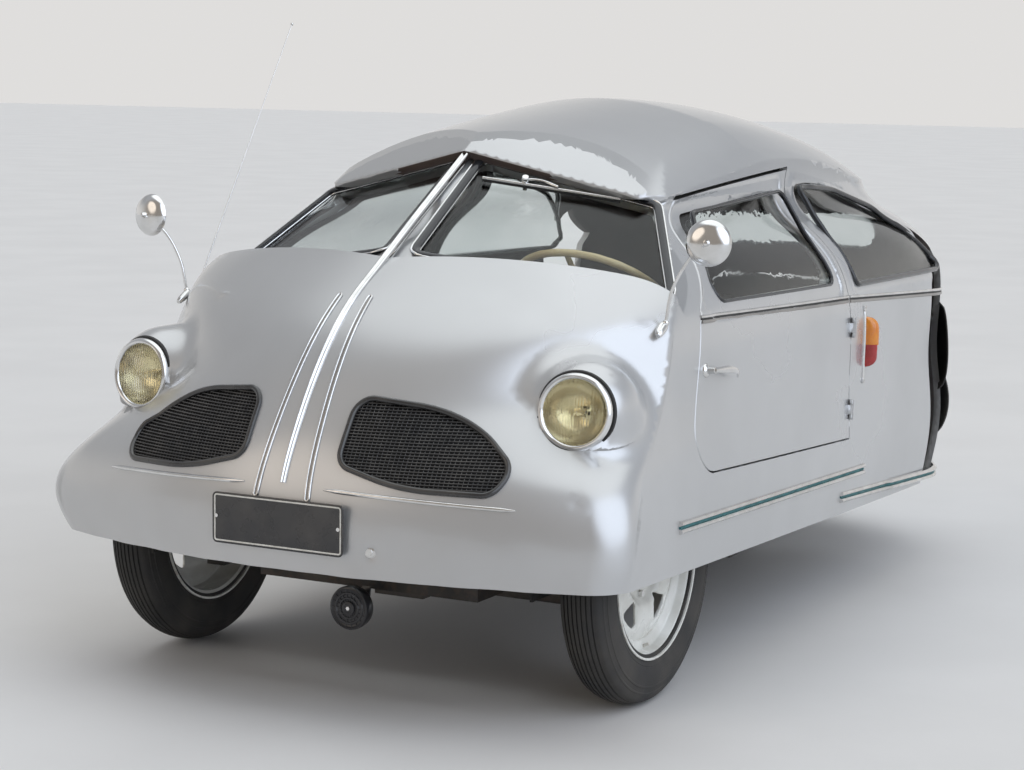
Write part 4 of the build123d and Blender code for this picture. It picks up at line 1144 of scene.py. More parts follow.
class View(Enum):
    """Directions that the body is looked at from, for placing what is fastened to it."""

    LEFT = (-1.0, 0.0, 0.0)
    RIGHT = (1.0, 0.0, 0.0)
    FRONT = (0.0, 1.0, 0.0)
    BACK = (0.0, -1.0, 0.0)

    def starts(self, spots: Sequence[Pair]) -> np.ndarray:
        """Points near the skin for flat places: y and z from the side, x and z from front or back.

        Args:
            spots: Flat places, with y from the front axle.

        Returns:
            Rows of points in the frame.
        """
        flat = rows_of(spots)
        if self.value[0]:
            return np.c_[np.full(len(flat), -0.72 * self.value[0]), flat[:, 0] + AXLE_Y, flat[:, 1]]
        depth = -0.35 if self is View.FRONT else 2.45
        return np.c_[flat[:, 0], np.full(len(flat), depth + AXLE_Y), flat[:, 1]]


SIDE_VIEWS = {1: View.LEFT, -1: View.RIGHT}
Path = tuple[list[Vector], list[Vector]]


class Skin:
    """The finished panels' surface, and places on it for trim, lamps and seals."""

    reach: float = 0.012
    stand_off: float = 0.05

    def __init__(self, meshes: Sequence[bpy.types.Mesh]) -> None:
        """Gathers the panels' faces.

        Args:
            meshes: The finished panels.
        """
        points: list[tuple] = []
        faces: list[tuple] = []
        for mesh in meshes:
            start = len(points)
            points.extend(tuple(v.co) for v in mesh.vertices)
            faces.extend(tuple(start + k for k in face.vertices) for face in mesh.polygons)
        self.tree = BVHTree.FromPolygons(points, faces)

    def on(self, view: View, spots: Sequence[Pair], lift: float = 0.0) -> Path:
        """Places on the panels.

        Args:
            view: Where the body is looked at from.
            spots: Flat places in that view, with y from the front axle.
            lift: How far above the skin to stop.

        Returns:
            The places and the skin's normals there.
        """
        formed, normals = FORM.onto(view.starts(spots), view.value)
        ahead = Vector(view.value)
        places = []
        for spot, normal in zip(map(Vector, formed), map(Vector, normals)):
            found = self.tree.ray_cast(spot - ahead * self.stand_off, ahead)[0]
            if found is None or (found - spot).length > self.reach:
                found = spot
            places.append(found + normal * lift)
        return places, [Vector(n) for n in normals]

    def over(self, view: View, outline: Sequence[Pair], lift: float = 0.0, land: float = 0.008) -> Path:
        """A closed path over an opening's edge, level with the panel just outside it.

        Args:
            view: Where the body is looked at from.
            outline: The opening's outline in that view.
            lift: How far above the panel the path runs.
            land: How far outside the outline the panel is felt.

        Returns:
            The path and the skin's normals along it.
        """
        around = grown(outline, land)
        felt, _ = self.on(view, around)
        outer, _ = FORM.onto(view.starts(around), view.value)
        inner, normals = FORM.onto(view.starts(outline), view.value)
        normals = [Vector(n) for n in normals]
        proud = np.array([(f - Vector(o)).dot(n) for f, o, n in zip(felt, outer, normals)])
        proud = sum(np.roll(proud, k) for k in range(-3, 4)) / 7
        path = [Vector(i) + n * (p + lift) for i, n, p in zip(inner, normals, proud)]
        return path, normals


class Panel(Enum):
    """The body's panels: each one's node, the body that it rides on and the finish of its inside."""

    NOSE = ("nose_panel", "body", UNDERSEAL)
    SCREEN_FRAME = ("windscreen_frame", "body", CABIN)
    ROOF = ("roof", "body", CABIN)
    LEFT_QUARTER = ("left_quarter_panel", "body", CABIN)
    RIGHT_QUARTER = ("right_quarter_panel", "body", CABIN)
    TAIL = ("tail_panel", "body", CABIN)
    SILLS = ("sills", "body", UNDERSEAL)
    LEFT_DOOR = ("left_door", "left_door", CABIN)
    RIGHT_DOOR = ("right_door", "right_door", CABIN)
    LID = ("engine_lid", "engine_lid", UNDERSEAL)


@dataclass
class Bodywork:
    """The painted panels: each node's own mesh, refined and laid on the smooth form."""

    edge: float = 0.030
    fine_edge: float = 0.012
    passes: int = 6
    proud_limit: float = -0.015
    outer_facing: float = 0.6
    lining_facing: float = -0.5
    inner_facing: float = -0.85
    window: tuple = ((0.296, 0.938), (0.505, 1.150), (1.135, 1.180), (1.135, 0.925))
    window_step: float = 0.006
    window_land: float = 0.030
    window_ramp: float = 0.014
    quarter: tuple = (
        (1.268, 0.912), (1.268, 1.186), (1.530, 1.165), (1.790, 1.105), (1.985, 1.015), (2.145, 0.902),
    )
    quarter_lip: float = 0.005
    quarter_lip_place: float = 0.016
    quarter_lip_half: float = 0.015
    fine_door_z: float = 0.86
    fine_nose: Pair = (-0.30, 0.52)
    crease: float = math.radians(32)

    def build(self) -> "Skin":
        """Makes every panel.

        Returns:
            The panels' outer skin, for what is fastened to it.
        """
        skins = []
        for panel in Panel:
            node, body, lining = panel.value
            mesh = self.refined(NODES[node], panel)
            settle(node + "_skin", mesh, [SILVER, lining], body, (node,), sharp=None)
            skins.append(mesh)
        return Skin(skins)

    @staticmethod
    def outline_gap(points: np.ndarray, outline: Sequence[Pair]) -> np.ndarray:
        """How far points are outside an outline in side view; inside counts as negative.

        Args:
            points: Rows of points in the frame.
            outline: The outline's corners as y from the front axle and z.

        Returns:
            One distance for each point.
        """
        flat = points[:, 1:] - np.array((AXLE_Y, 0.0))
        corners = np.array(outline)
        best, inside = np.full(len(flat), 1e9), np.zeros(len(flat), bool)
        for a, b in zip(corners, np.roll(corners, -1, 0)):
            span = b - a
            t = np.clip((flat - a) @ span / (span @ span), 0, 1)
            best = np.minimum(best, np.linalg.norm(flat - a - t[:, None] * span, axis=1))
            crosses = (a[1] > flat[:, 1]) != (b[1] > flat[:, 1])
            at = a[0] + (flat[:, 1] - a[1]) / (span[1] if abs(span[1]) > 1e-9 else 1e-9) * span[0]
            inside ^= crosses & (flat[:, 0] < at)
        return np.where(inside, -best, best)

    def pressed(self, points: np.ndarray, panel: Panel) -> np.ndarray:
        """How far a panel is pressed in: damage, window steps and lips.

        Args:
            points: Rows of points in the frame.
            panel: Which panel it is.

        Returns:
            One depth for each point.
        """
        depth = FORM.damage(points)
        if panel in (Panel.LEFT_DOOR, Panel.RIGHT_DOOR):
            gap = self.outline_gap(points, self.window)
            share = np.clip((self.window_land + self.window_ramp - gap) / self.window_ramp, 0, 1)
            depth += self.window_step * share * share * (3 - 2 * share)
        if panel in (Panel.LEFT_QUARTER, Panel.RIGHT_QUARTER):
            gap = self.outline_gap(points, self.quarter)
            away = (gap - self.quarter_lip_place) / self.quarter_lip_half
            depth -= self.quarter_lip * np.exp(-away**2)
        return depth

    def refined(self, node: bpy.types.Object, panel: Panel) -> bpy.types.Mesh:
        """A copy of a node's mesh, divided finely, laid on the form and given the form's normals.

        Args:
            node: The frame's node.
            panel: Which panel it is.

        Returns:
            The new mesh.
        """
        work = bmesh.new()
        work.from_mesh(node.data)
        bmesh.ops.remove_doubles(work, verts=work.verts, dist=1e-5)
        bmesh.ops.dissolve_degenerate(work, edges=work.edges, dist=1e-6)
        for _ in range(self.passes):
            long = [e for e in work.edges if e.calc_length() > self.reach(e, panel)]
            if not long:
                break
            bmesh.ops.subdivide_edges(work, edges=long, cuts=1)
            bmesh.ops.triangulate(work, faces=[f for f in work.faces if len(f.verts) > 3])
        mesh = bpy.data.meshes.new(node.name + "_skin")
        work.to_mesh(mesh)
        work.free()
        spots = vertex_rows(mesh)
        smooth, hard, normals = FORM.measure(spots, panel is Panel.ROOF)
        move = smooth - hard + self.pressed(spots, panel)
        spots -= normals * move[:, None]
        move_vertices(mesh, spots)
        self.lay_normals(mesh, spots, hard, panel)
        return mesh

    def reach(self, edge: bmesh.types.BMEdge, panel: Panel) -> float:
        """The longest that an edge may stay: shorter round the door windows and low on the nose.

        Args:
            edge: The edge.
            panel: Which panel it is on.

        Returns:
            The length.
        """
        middle = (edge.verts[0].co + edge.verts[1].co) / 2
        y, z = middle.y - AXLE_Y, middle.z
        door = panel in (Panel.LEFT_DOOR, Panel.RIGHT_DOOR) and z > self.fine_door_z
        nose = panel is Panel.NOSE and y < self.fine_nose[0] and z < self.fine_nose[1]
        return self.fine_edge if door or nose else self.edge

    def form_normals(self, spots: np.ndarray, panel: Panel) -> np.ndarray:
        """The form's normals at a panel's vertices, tilted by what presses the panel in.

        Args:
            spots: The vertices as rows.
            panel: Which panel it is.

        Returns:
            One unit normal for each vertex.
        """
        _, _, normals = FORM.measure(spots, panel is Panel.ROOF)
        step = 0.004
        tilt = np.zeros_like(spots)
        middle = self.pressed(spots, panel)
        for axis in range(3):
            moved = spots.copy()
            moved[:, axis] += step
            tilt[:, axis] = (self.pressed(moved, panel) - middle) / step
        tilt -= np.einsum("ij,ij->i", tilt, normals)[:, None] * normals
        normals = normals + tilt
        return normals / np.linalg.norm(normals, axis=1)[:, None]

    def lay_normals(self, mesh: bpy.types.Mesh, spots: np.ndarray, hard: np.ndarray, panel: Panel) -> None:
        """Gives faces along the skin the form's normals, and its lining to the inside.

        Args:
            mesh: The panel's mesh.
            spots: Its vertices.
            hard: Each vertex's depth under the form before it was laid.
            panel: Which panel it is.
        """
        mesh.shade_smooth()
        mesh.set_sharp_from_angle(angle=self.crease)
        loops = len(mesh.loops)
        normals = np.empty(loops * 3)
        mesh.corner_normals.foreach_get("vector", normals)
        normals = normals.reshape(-1, 3)
        formed = self.form_normals(spots, panel)
        corners = np.empty(loops, int)
        mesh.loops.foreach_get("vertex_index", corners)
        flat = np.empty(len(mesh.polygons) * 3)
        mesh.polygons.foreach_get("normal", flat)
        triples = corners.reshape(-1, 3)
        facing = np.einsum("ij,ij->i", flat.reshape(-1, 3), formed[triples].mean(1))
        outer = (facing > self.outer_facing) & (hard[triples].mean(1) > self.proud_limit)
        inner = facing < self.inner_facing
        mesh.polygons.foreach_set("material_index", (facing < self.lining_facing).astype(int))
        use = np.repeat(np.where(outer, 1.0, np.where(inner, -1.0, 0.0)), 3)[:, None]
        normals = np.where(use != 0, formed[corners] * use, normals)
        mesh.normals_split_custom_set([tuple(n) for n in normals])


@dataclass
class Studio:
    """A pale floor, soft light from the room and the camera."""

    lens: float = 2400 / 1024 * 36.0
    place: tuple = (3.005, -6.112, 1.507)
    yaw: float = 28.01
    pitch: float = 7.56
    roll: float = 0.8
    floor_reach: float = 60.0
    floor_color: Color = (0.70, 0.69, 0.68)
    horizon: Color = (0.74, 0.73, 0.72)
    above: Color = (0.42, 0.43, 0.45)
    windows: tuple = (
        ((0.10, -1.00, 0.00), 72.0, (0.34, 0.31, 0.28)),
        ((0.85, -0.20, 0.50), 36.0, (1.75, 1.90, 2.15)),
        ((0.00, 0.25, 1.00), 36.0, (1.35, 1.40, 1.42)),
        ((-0.50, -0.80, 0.45), 20.0, (1.30, 1.15, 1.00)),
    )

    def build(self) -> None:
        """Makes the floor, the lit room and the camera."""
        shape = bpy.data.meshes.new("pale_floor")
        reach = self.floor_reach
        corners = [(-reach, -reach, 0), (reach, -reach, 0), (reach, reach, 0), (-reach, reach, 0)]
        shape.from_pydata(corners, [], [(0, 1, 2, 3)])
        floor = bpy.data.objects.new("pale_floor", shape)
        bpy.context.scene.collection.objects.link(floor)
        material = bpy.data.materials.new("pale_floor_paint")
        material.use_nodes = True
        graph = Graph(material.node_tree)
        shader = material.node_tree.nodes["Principled BSDF"]
        place = graph.add("ShaderNodeTexCoord").outputs["Object"]
        tone = graph.ramp(graph.noise(place, 1.4, 5.0), 0.3, 0.7)
        dark = tuple(c * 0.95 for c in self.floor_color)
        graph.put(shader.inputs["Base Color"], graph.mix(tone, (*self.floor_color, 1.0), (*dark, 1.0)))
        shader.inputs["Roughness"].default_value = 0.55
        shape.materials.append(material)
        self.world()
        self.camera()

    def world(self) -> None:
        """A pale room with soft bright windows: the floor meets the same tone at the horizon."""
        world = bpy.data.worlds.new("pale_room")
        bpy.context.scene.world = world
        world.use_nodes = True
        graph = Graph(world.node_tree)
        back = world.node_tree.nodes["Background"]
        way = graph.add("ShaderNodeTexCoord").outputs["Generated"]
        height = graph.add("ShaderNodeSeparateXYZ", {0: way}).outputs["Z"]
        rise = graph.ramp(height, 0.10, 0.45)
        color = graph.mix(rise, (*self.horizon, 1.0), (*self.above, 1.0))
        for aim, spread, light in self.windows:
            aim = Vector(aim).normalized()
            dot = graph.add("ShaderNodeVectorMath", {0: way, 1: aim}, operation="DOT_PRODUCT")
            edges = (math.cos(math.radians(spread * k)) for k in (1.15, 0.75))
            mask = graph.ramp(dot.outputs["Value"], *edges)
            color = graph.mix(mask, color, (*light, 1.0))
        graph.put(back.inputs["Color"], color)
        back.inputs["Strength"].default_value = 1.0

    def camera(self) -> None:
        """The photograph's viewing angle."""
        data = bpy.data.cameras.new("photo_camera")
        data.sensor_width, data.lens = 36.0, self.lens
        holder = bpy.data.objects.new("photo_camera", data)
        bpy.context.scene.collection.objects.link(holder)
        yaw, pitch, roll = (math.radians(a) for a in (self.yaw, self.pitch, self.roll))
        level = math.cos(pitch)
        ahead = Vector((-math.sin(yaw) * level, math.cos(yaw) * level, -math.sin(pitch)))
        turn = ahead.to_track_quat("-Z", "Y").to_matrix() @ Matrix.Rotation(roll, 3, "Z")
        holder.rotation_euler = turn.to_euler()
        holder.location = self.place
        bpy.context.scene.camera = holder


@dataclass
class NoseTrim:
    """Bright bars down the middle of the nose, and one under each grille."""

    screen_top: tuple = (0.0, 0.327, 1.300)
    screen_base: tuple = (0.0, -0.107, 1.040)
    ridge_high: float = 0.013
    nose_z: float = 0.985
    low_z: float = 0.555
    rib: tuple = (
        (-0.0115, -0.010), (-0.0115, 0.002), (-0.0095, 0.0058), (-0.0062, 0.0072), (-0.0028, 0.0056),
        (0.0, 0.0028), (0.0028, 0.0056), (0.0062, 0.0072), (0.0095, 0.0058), (0.0115, 0.002),
        (0.0115, -0.010),
    )
    strip_top: Pair = (0.042, 0.957)
    strip_low: Pair = (0.070, 0.525)
    strip_half: float = 0.0055
    strip_flat: Pair = (-0.002, 0.0018)
    bead: Pair = (0.0024, 0.0028)
    bar_ends: tuple = ((0.108, 0.548), (0.556, 0.530))
    bar: Pair = (0.0052, 0.0055)
    bar_steps: int = 30

    def build(self, skin: Skin) -> None:
        """Makes all of the nose's bright strips.

        Args:
            skin: The panels' outer skin.
        """
        shape = Shape()
        self.centre(shape, skin)
        for side in SIDES:
            self.hairpin(shape, skin, side)
            ends = np.array(self.bar_ends) * (side, 1.0)
            steps = self.bar_steps
            path, normals = skin.on(View.FRONT, np.linspace(*ends, steps), 0.0005)
            taper = [(min(1.0, 0.35 + min(k, steps - 1 - k) * 0.3),) * 2 for k in range(steps)]
            shape.sweep(path, normals, half_round(0.0, *self.bar), scales=taper)
        shape.piece("nose_bright_strips", [CHROME, TAN], replaces=["nose_trim"])

    def centre(self, shape: Shape, skin: Skin) -> None:
        """The ribbed bar between the panes, which runs on down the nose and narrows.

        Args:
            shape: The shape that it goes into.
            skin: The panels' outer skin.
        """
        top, base = place(*self.screen_top), place(*self.screen_base)
        rake = (base - top).normalized()
        out = Vector((0.0, rake.z, -rake.y))
        path = [top.lerp(base, t) + out * self.ridge_high for t in np.linspace(0.04, 0.84, 12)]
        normals = [out] * len(path)
        heights = np.linspace(self.nose_z, self.low_z, 44)
        low, low_normals = skin.on(View.FRONT, [(0.0, z) for z in heights], 0.001)
        path, normals = path + low, normals + low_normals
        for _ in range(3):
            for k in range(1, len(path) - 1):
                path[k] = (path[k - 1] + 2 * path[k] + path[k + 1]) / 4
                normals[k] = (normals[k - 1] + 2 * normals[k] + normals[k + 1]).normalized()
        scales = [(1.0 - 0.42 * share, 1.0 - 0.2 * share) for share in np.linspace(0.0, 1.0, len(path))]
        shape.sweep(path, normals, self.rib, scales=scales)

    def hairpin(self, shape: Shape, skin: Skin, side: int) -> None:
        """One long strip: a bright bead round a darker middle.

        Args:
            shape: The shape that it goes into.
            skin: The panels' outer skin.
            side: 1 for the car's left, -1 for its right.
        """
        top, low = (np.array(end) * (side, 1.0) for end in (self.strip_top, self.strip_low))
        middle = np.linspace(top, low, 44)
        half = self.strip_half
        path, normals = skin.on(View.FRONT, middle, 0.0)
        low_face, high_face = self.strip_flat
        flat = [(-half, low_face), (-half, high_face), (half, high_face), (half, low_face)]
        shape.sweep(path, normals, flat, kind=1)
        steps = np.linspace(0.0, math.pi, 7)
        upper = [top + half * np.array((math.cos(a), math.sin(a))) for a in steps]
        lower = [low - half * np.array((math.cos(a), math.sin(a))) for a in steps]
        outline = upper + list(middle[1:-1] - (half, 0.0)) + lower + list(middle[-2:0:-1] + (half, 0.0))
        path, normals = skin.on(View.FRONT, outline, high_face)
        shape.sweep(path, normals, half_round(0.0, *self.bead), loop=True)


@dataclass
class Grilles:
    """Two black grilles: a rolled rim, fine level bars on thin uprights, and a near-black sheet behind them,
    painted shade for the openings.
    """

    corners: tuple = (
        (0.130, 0.752), (0.340, 0.730), (0.448, 0.675), (0.522, 0.612), (0.497, 0.557), (0.290, 0.562),
        (0.128, 0.606),
    )
    radii: tuple = (0.040, 0.400, 0.320, 0.040, 0.036, 0.600, 0.040)
    rim_radius: float = 0.0072
    point_pitch: float = 0.018
    bars: tuple = ("grille_level_bars", 1, 0.0066, -0.0025, 0.0016, 6)
    uprights: tuple = ("grille_uprights", 0, 0.0105, -0.0045, 0.0009, 4)
    # Depth and thickness of the painted-shade sheet behind the bars.
    shade_sheet_depth: float = 0.012
    shade_sheet_wall: float = 0.003

    @staticmethod
    def spans(outline: Sequence[Pair], axis: int, pitch: float) -> list[tuple[float, float, float]]:
        """Where lines at an even pitch cross an outline.

        Args:
            outline: The closed outline.
            axis: Which coordinate stays the same along each line.
            pitch: The lines' pitch.

        Returns:
            For each line its place and both of its ends.
        """
        flat = np.array(outline)
        ahead = np.roll(flat, -1, 0)
        found = []
        for at in np.arange(flat[:, axis].min() + pitch / 2, flat[:, axis].max(), pitch):
            cross = (flat[:, axis] > at) != (ahead[:, axis] > at)
            a, b = flat[cross], ahead[cross]
            t = (at - a[:, axis]) / (b[:, axis] - a[:, axis])
            ends = a[:, 1 - axis] + t * (b[:, 1 - axis] - a[:, 1 - axis])
            found.append((at, ends.min(), ends.max()))
        return found

    def build(self, skin: Skin) -> None:
        """Makes both grilles.

        Args:
            skin: The panels' outer skin.
        """
        outline = rounded_loop(self.corners, self.radii, 0.0055)
        # cloth holds the near-black sheets behind the grilles, which are painted shade for the openings.
        rim, cloth = Shape(), Shape()
        for side in SIDES:
            path, normals = skin.over(View.FRONT, [(side * x, z) for x, z in outline], 0.0015)
            rim.sweep(path, normals, oval(self.rim_radius, self.rim_radius, 14), loop=True)
            cloth.loft(self.shade_sheet_rings(outline, side))
        rim.piece("grille_rims", [GRILLE_RIM], replaces=["front_grilles"])
        # The sheets behind the grilles are painted shade.
        cloth.piece("grille_painted_shade_sheets", [GRILLE_PAINTED_SHADE])
        for name, axis, pitch, lift, radius, sides in (self.bars, self.uprights):
            lines = self.lines(outline, axis, pitch, lift)
            REPEAT.bars(name, lines, radius, GRILLE, sides=sides)

    def lines(self, outline: Sequence[Pair], axis: int, pitch: float, lift: float) -> list[list[Vector]]:
        """The middles of one set of bars on both sides.

        Args:
            outline: The left grille's outline.
            axis: Which coordinate stays the same along each bar.
            pitch: The bars' pitch.
            lift: How far over the smooth form they run.

        Returns:
            One row of places for each bar.
        """
        rows = []
        for at, low, high in self.spans(outline, axis, pitch):
            along = np.linspace(low, high, max(3, int((high - low) / self.point_pitch)))
            rows.append([(at, c) if axis == 0 else (c, at) for c in along])
        cuts = np.cumsum([0] + [len(row) for row in rows])
        found = []
        for side in SIDES:
            places = self.inside([(side * x, z) for row in rows for x, z in row], lift)
            found += [places[a:b] for a, b in zip(cuts, cuts[1:])]
        return found

    def shade_sheet_rings(self, outline: Sequence[Pair], side: int) -> list[np.ndarray]:
        """The near-black sheet behind one grille, painted shade for its openings.

        Args:
            outline: The left grille's outline.
            side: 1 for the car's left, -1 for its right.

        Returns:
            Rings from its low edge to its high one.
        """
        rings = []
        for z, low, high in self.spans(outline, 1, 0.012):
            row = [(side * x, z) for x in np.linspace(low, high, 14)]
            front = self.inside(row, -self.shade_sheet_depth)
            back = self.inside(row[::-1], -self.shade_sheet_depth - self.shade_sheet_wall)
            rings.append(rows_of(front + back))
        return rings

    @staticmethod
    def inside(spots: Sequence[Pair], lift: float) -> list[Vector]:
        """Places in front view at a height over the smooth form, where no panel is."""
        found, normals = FORM.onto(View.FRONT.starts(spots), View.FRONT.value)
        return [Vector(f) + Vector(n) * lift for f, n in zip(found, normals)]


@dataclass
class Headlamps:
    """Round lamps: a chrome bezel on rubber, a reflector and a fluted glass."""

    centre: tuple = (0.606, -0.290, 0.733)
    bezel: tuple = (
        (0.0800, -0.0060), (0.0872, -0.0100), (0.0898, -0.0050), (0.0892, 0.0035), (0.0860, 0.0092),
        (0.0812, 0.0115), (0.0770, 0.0098), (0.0745, 0.0052), (0.0760, 0.0010),
    )
    seat: tuple = (
        (0.0880, -0.0125), (0.0950, -0.0150), (0.0962, -0.0095), (0.0935, -0.0050), (0.0885, -0.0060),
    )
    bowl: tuple = (
        (0.0752, 0.0020), (0.0700, -0.0120), (0.0600, -0.0270), (0.0450, -0.0420), (0.0280, -0.0520),
        (0.0, -0.0570), (0.0, -0.0610), (0.0300, -0.0560), (0.0480, -0.0455), (0.0630, -0.0300),
        (0.0735, -0.0140), (0.0785, 0.0010),
    )
    bulb: tuple = ((0.0, -0.050), (0.011, -0.050), (0.013, -0.028), (0.009, -0.020), (0.0, -0.018))
    screw_drop: float = 0.0835
    screw_stand: float = 0.0112
    lens_radius: float = 0.0762
    lens_rise: float = 0.0125
    lens_wall: float = 0.0032
    flute_pitch: float = 0.0072
    flute_depth: float = 0.0011

    def build(self) -> None:
        """Makes both lamps."""
        metal, bowls, glass, rubber = Shape(), Shape(), Shape(), Shape()
        screws, aims = [], []
        for side in SIDES:
            out = Vector(FORM.lamp_out * (side, 1, 1))
            middle = place(*self.centre, side)
            metal.turned(self.bezel, middle, out, 96, closed=True)
            rubber.turned(self.seat, middle, out, 80, closed=True)
            bowls.turned(self.bowl, middle, out, 64, closed=True)
            bowls.turned(self.bulb, middle, out, 24)
            self.lens(glass, middle, out)
            screws.append(middle - Vector((0, 0, self.screw_drop)) + out * self.screw_stand)
            aims.append(out)
        metal.piece("headlamp_bezels", [CHROME], replaces=["headlamps"])
        rubber.piece("headlamp_seats", [RUBBER])
        bowls.piece("headlamp_bowls", [REFLECTOR])
        glass.piece("headlamp_glasses", [LENS], sharp=60.0)
        REPEAT.heads("headlamp_screws", screws, aims, 0.0032, 0.003, CHROME)

    def lens(self, shape: Shape, middle: Vector, out: Vector) -> None:
        """A domed glass with upright flutes.

        Args:
            shape: The shape that it goes into.
            middle: The lamp's middle.
            out: The direction that the lamp faces.
        """
        before = len(shape.points)
        rows = np.linspace(0.0, 1.0, 30)
        outer = [(self.lens_radius * t, 0.004 + self.lens_rise * (1 - t * t)) for t in rows]
        inner = [(r, h - self.lens_wall) for r, h in reversed(outer)]
        shape.turned(outer + inner, middle, out, 168, closed=True)
        level = out.cross(Vector((0, 0, 1))).normalized()
        for k in range(before, len(shape.points)):
            spot = Vector(shape.points[k])
            across = (spot - middle).dot(level)
            share = max(0.0, 1.0 - (spot - middle).length / (self.lens_radius + 0.006))
            wave = math.cos(2 * math.pi * across / self.flute_pitch) * min(1.0, share * 8)
            shape.points[k] = tuple(spot + out * (self.flute_depth * wave))


@dataclass
class Glazing:
    """Rubber and bright beads round the windows, and the wiper."""

    base: tuple = (0.0, -0.107, 1.040)
    top: tuple = (0.0, 0.327, 1.300)
    outer: tuple = (0.685, 0.131, 0.934)
    pane: tuple = ((0.046, 0.026), (0.700, 0.026), (0.600, 0.388), (0.128, 0.462))
    pane_radius: float = 0.030
    rear: tuple = ((-0.340, 0.915), (0.340, 0.915), (0.340, 1.050), (-0.340, 1.050))
    rear_radius: float = 0.0665
    wiper: tuple = ((0.150, 0.366), (0.505, 0.373))
    wiper_pivot: Pair = (0.258, 0.380)
    scuttle_lift: float = 0.009
    gasket: tuple = (
        (-0.009, -0.012), (-0.009, 0.003), (-0.004, 0.006), (0.004, 0.006), (0.009, 0.003), (0.009, -0.012),
    )
    seal_radius: float = 0.0085
    door_seal: Pair = (0.00527, 0.00765)
    quarter_radii: tuple = (0.026, 0.026, 0.30, 0.30, 0.30, 0.026)
    blade: tuple = ((-0.003, -0.007), (-0.001, 0.0), (0.001, 0.0), (0.003, -0.007))
    pivot: tuple = (
        (0.0, -0.020), (0.006, -0.020), (0.006, 0.008), (0.0105, 0.009), (0.0105, 0.018), (0.008, 0.022),
        (0.0, 0.0235),
    )

    def on_screen(self, spots: Sequence[Pair], lift: float, side: int) -> Path:
        """Places on a windscreen pane.

        Args:
            spots: Steps along the pane's base and up the glass.
            lift: How far in front of its plane.
            side: 1 for the car's left, -1 for its right.

        Returns:
            The places and the plane's normal for each.
        """
        base, top, outer = Vector(self.base), Vector(self.top), Vector(self.outer)
        along = (outer - base).normalized()
        out = along.cross(top - base).normalized()
        up = out.cross(along)
        rise = [lift + self.scuttle_lift * min(1.0, max(0.0, (0.045 - v) / 0.020)) for _, v in spots]
        found = [base + along * u + up * v + out * r for (u, v), r in zip(spots, rise)]
        normal = Vector((side * out.x, out.y, out.z))
        return [place(p.x, p.y, p.z, side) for p in found], [normal] * len(found)

    def build(self, skin: Skin, work: Bodywork) -> None:
        """Makes the seals of every window, the curved panes and the wiper.

        Args:
            skin: The panels' outer skin.
            work: The panels' sizes.
        """
        self.screen_seals(skin, work)
        self.curved_panes(work)
        for side in SIDES:
            door = Shape()
            outline = rounded_loop(work.window, [0.034] * 4, 0.012)
            path, normals = skin.over(SIDE_VIEWS[side], grown(outline, -0.002), -0.004)
            door.sweep(path, normals, oval(*self.door_seal, 12), loop=True)
            name = SIDE_NAMES[side]
            door.piece(f"{name}_door_window_seal", [RUBBER_GLOSS], f"{name}_door")
        self.wipe()

    def screen_seals(self, skin: Skin, work: Bodywork) -> None:
        """The fixed windows' rubber, and bright beads on both sides of the windscreen's.

        Args:
            skin: The panels' outer skin.
            work: The panels' sizes.
        """
        rubber, beads = Shape(), Shape()
        outline = rounded_loop(self.pane, [self.pane_radius] * 4, 0.012)
        for side in SIDES:
            path, normals = self.on_screen(grown(outline, -0.003), 0.0, side)
            rubber.sweep(path, normals, self.gasket, loop=True)
            path, normals = self.on_screen(grown(outline, 0.0085), 0.0015, side)
            beads.sweep(path, normals, half_round(0.0, 0.0030, 0.0035), loop=True)
            path, normals = self.on_screen(grown(outline, -0.0125), -0.0055, side)
            beads.sweep(path, normals, half_round(0.0, 0.0016, 0.002), loop=True)
        seal = oval(self.seal_radius, self.seal_radius, 12)
        quarter = rounded_loop(work.quarter, self.quarter_radii, 0.014)
        for side in SIDES:
            path, normals = skin.over(SIDE_VIEWS[side], grown(quarter, -0.001), 0.0)
            rubber.sweep(path, normals, seal, loop=True)
        rear = rounded_loop(self.rear, [self.rear_radius] * 4, 0.014)
        path, normals = skin.over(View.BACK, rear, 0.0)
        rubber.sweep(path, normals, seal, loop=True)
        rubber.piece("window_gaskets", [RUBBER_GLOSS])
        beads.piece("windscreen_beads", [CHROME])

    @staticmethod
    def curved_panes(work: Bodywork) -> None:
        """The side panes: copies of the frame's, laid on the smooth form.

        Args:
            work: The panels' sizes.
        """
        panes = {
            "quarter_windows": ("body", 0.0), "left_door_window": ("left_door", work.window_step),
            "right_door_window": ("right_door", work.window_step),
        }
        for node, (body, depth) in panes.items():
            mesh = NODES[node].data.copy()
            spots = vertex_rows(mesh)
            smooth, hard, normals = FORM.measure(spots)
            move_vertices(mesh, spots - normals * (smooth - hard + depth)[:, None])
            settle(node + "_glass", mesh, [GLASS], body, [node], sharp=30.0)

    def wipe(self) -> None:
        """One wiper, parked along the top of the left pane."""
        metal, blade = Shape(), Shape()
        path, normals = self.on_screen(np.linspace(*self.wiper, 12), 0.004, 1)
        blade.sweep(path, normals, self.blade)
        path, normals = self.on_screen(np.linspace(*self.wiper, 12), 0.007, 1)
        metal.sweep(path, normals, half_round(0.0, 0.0038, 0.004))
        spots = smooth_line([(*self.wiper_pivot, 0), (0.300, 0.384, 0), (0.345, 0.370, 0)], 10)
        path, normals = self.on_screen([(s.x, s.y) for s in spots], 0.015, 1)
        metal.sweep(path, normals, half_round(0.0, 0.0035, 0.003))
        pivot, normals = self.on_screen([self.wiper_pivot], 0.0, 1)
        metal.turned(self.pivot, pivot[0], normals[0], 24)
        metal.piece("wiper_arm", [CHROME])
        blade.piece("wiper_blade", [RUBBER])


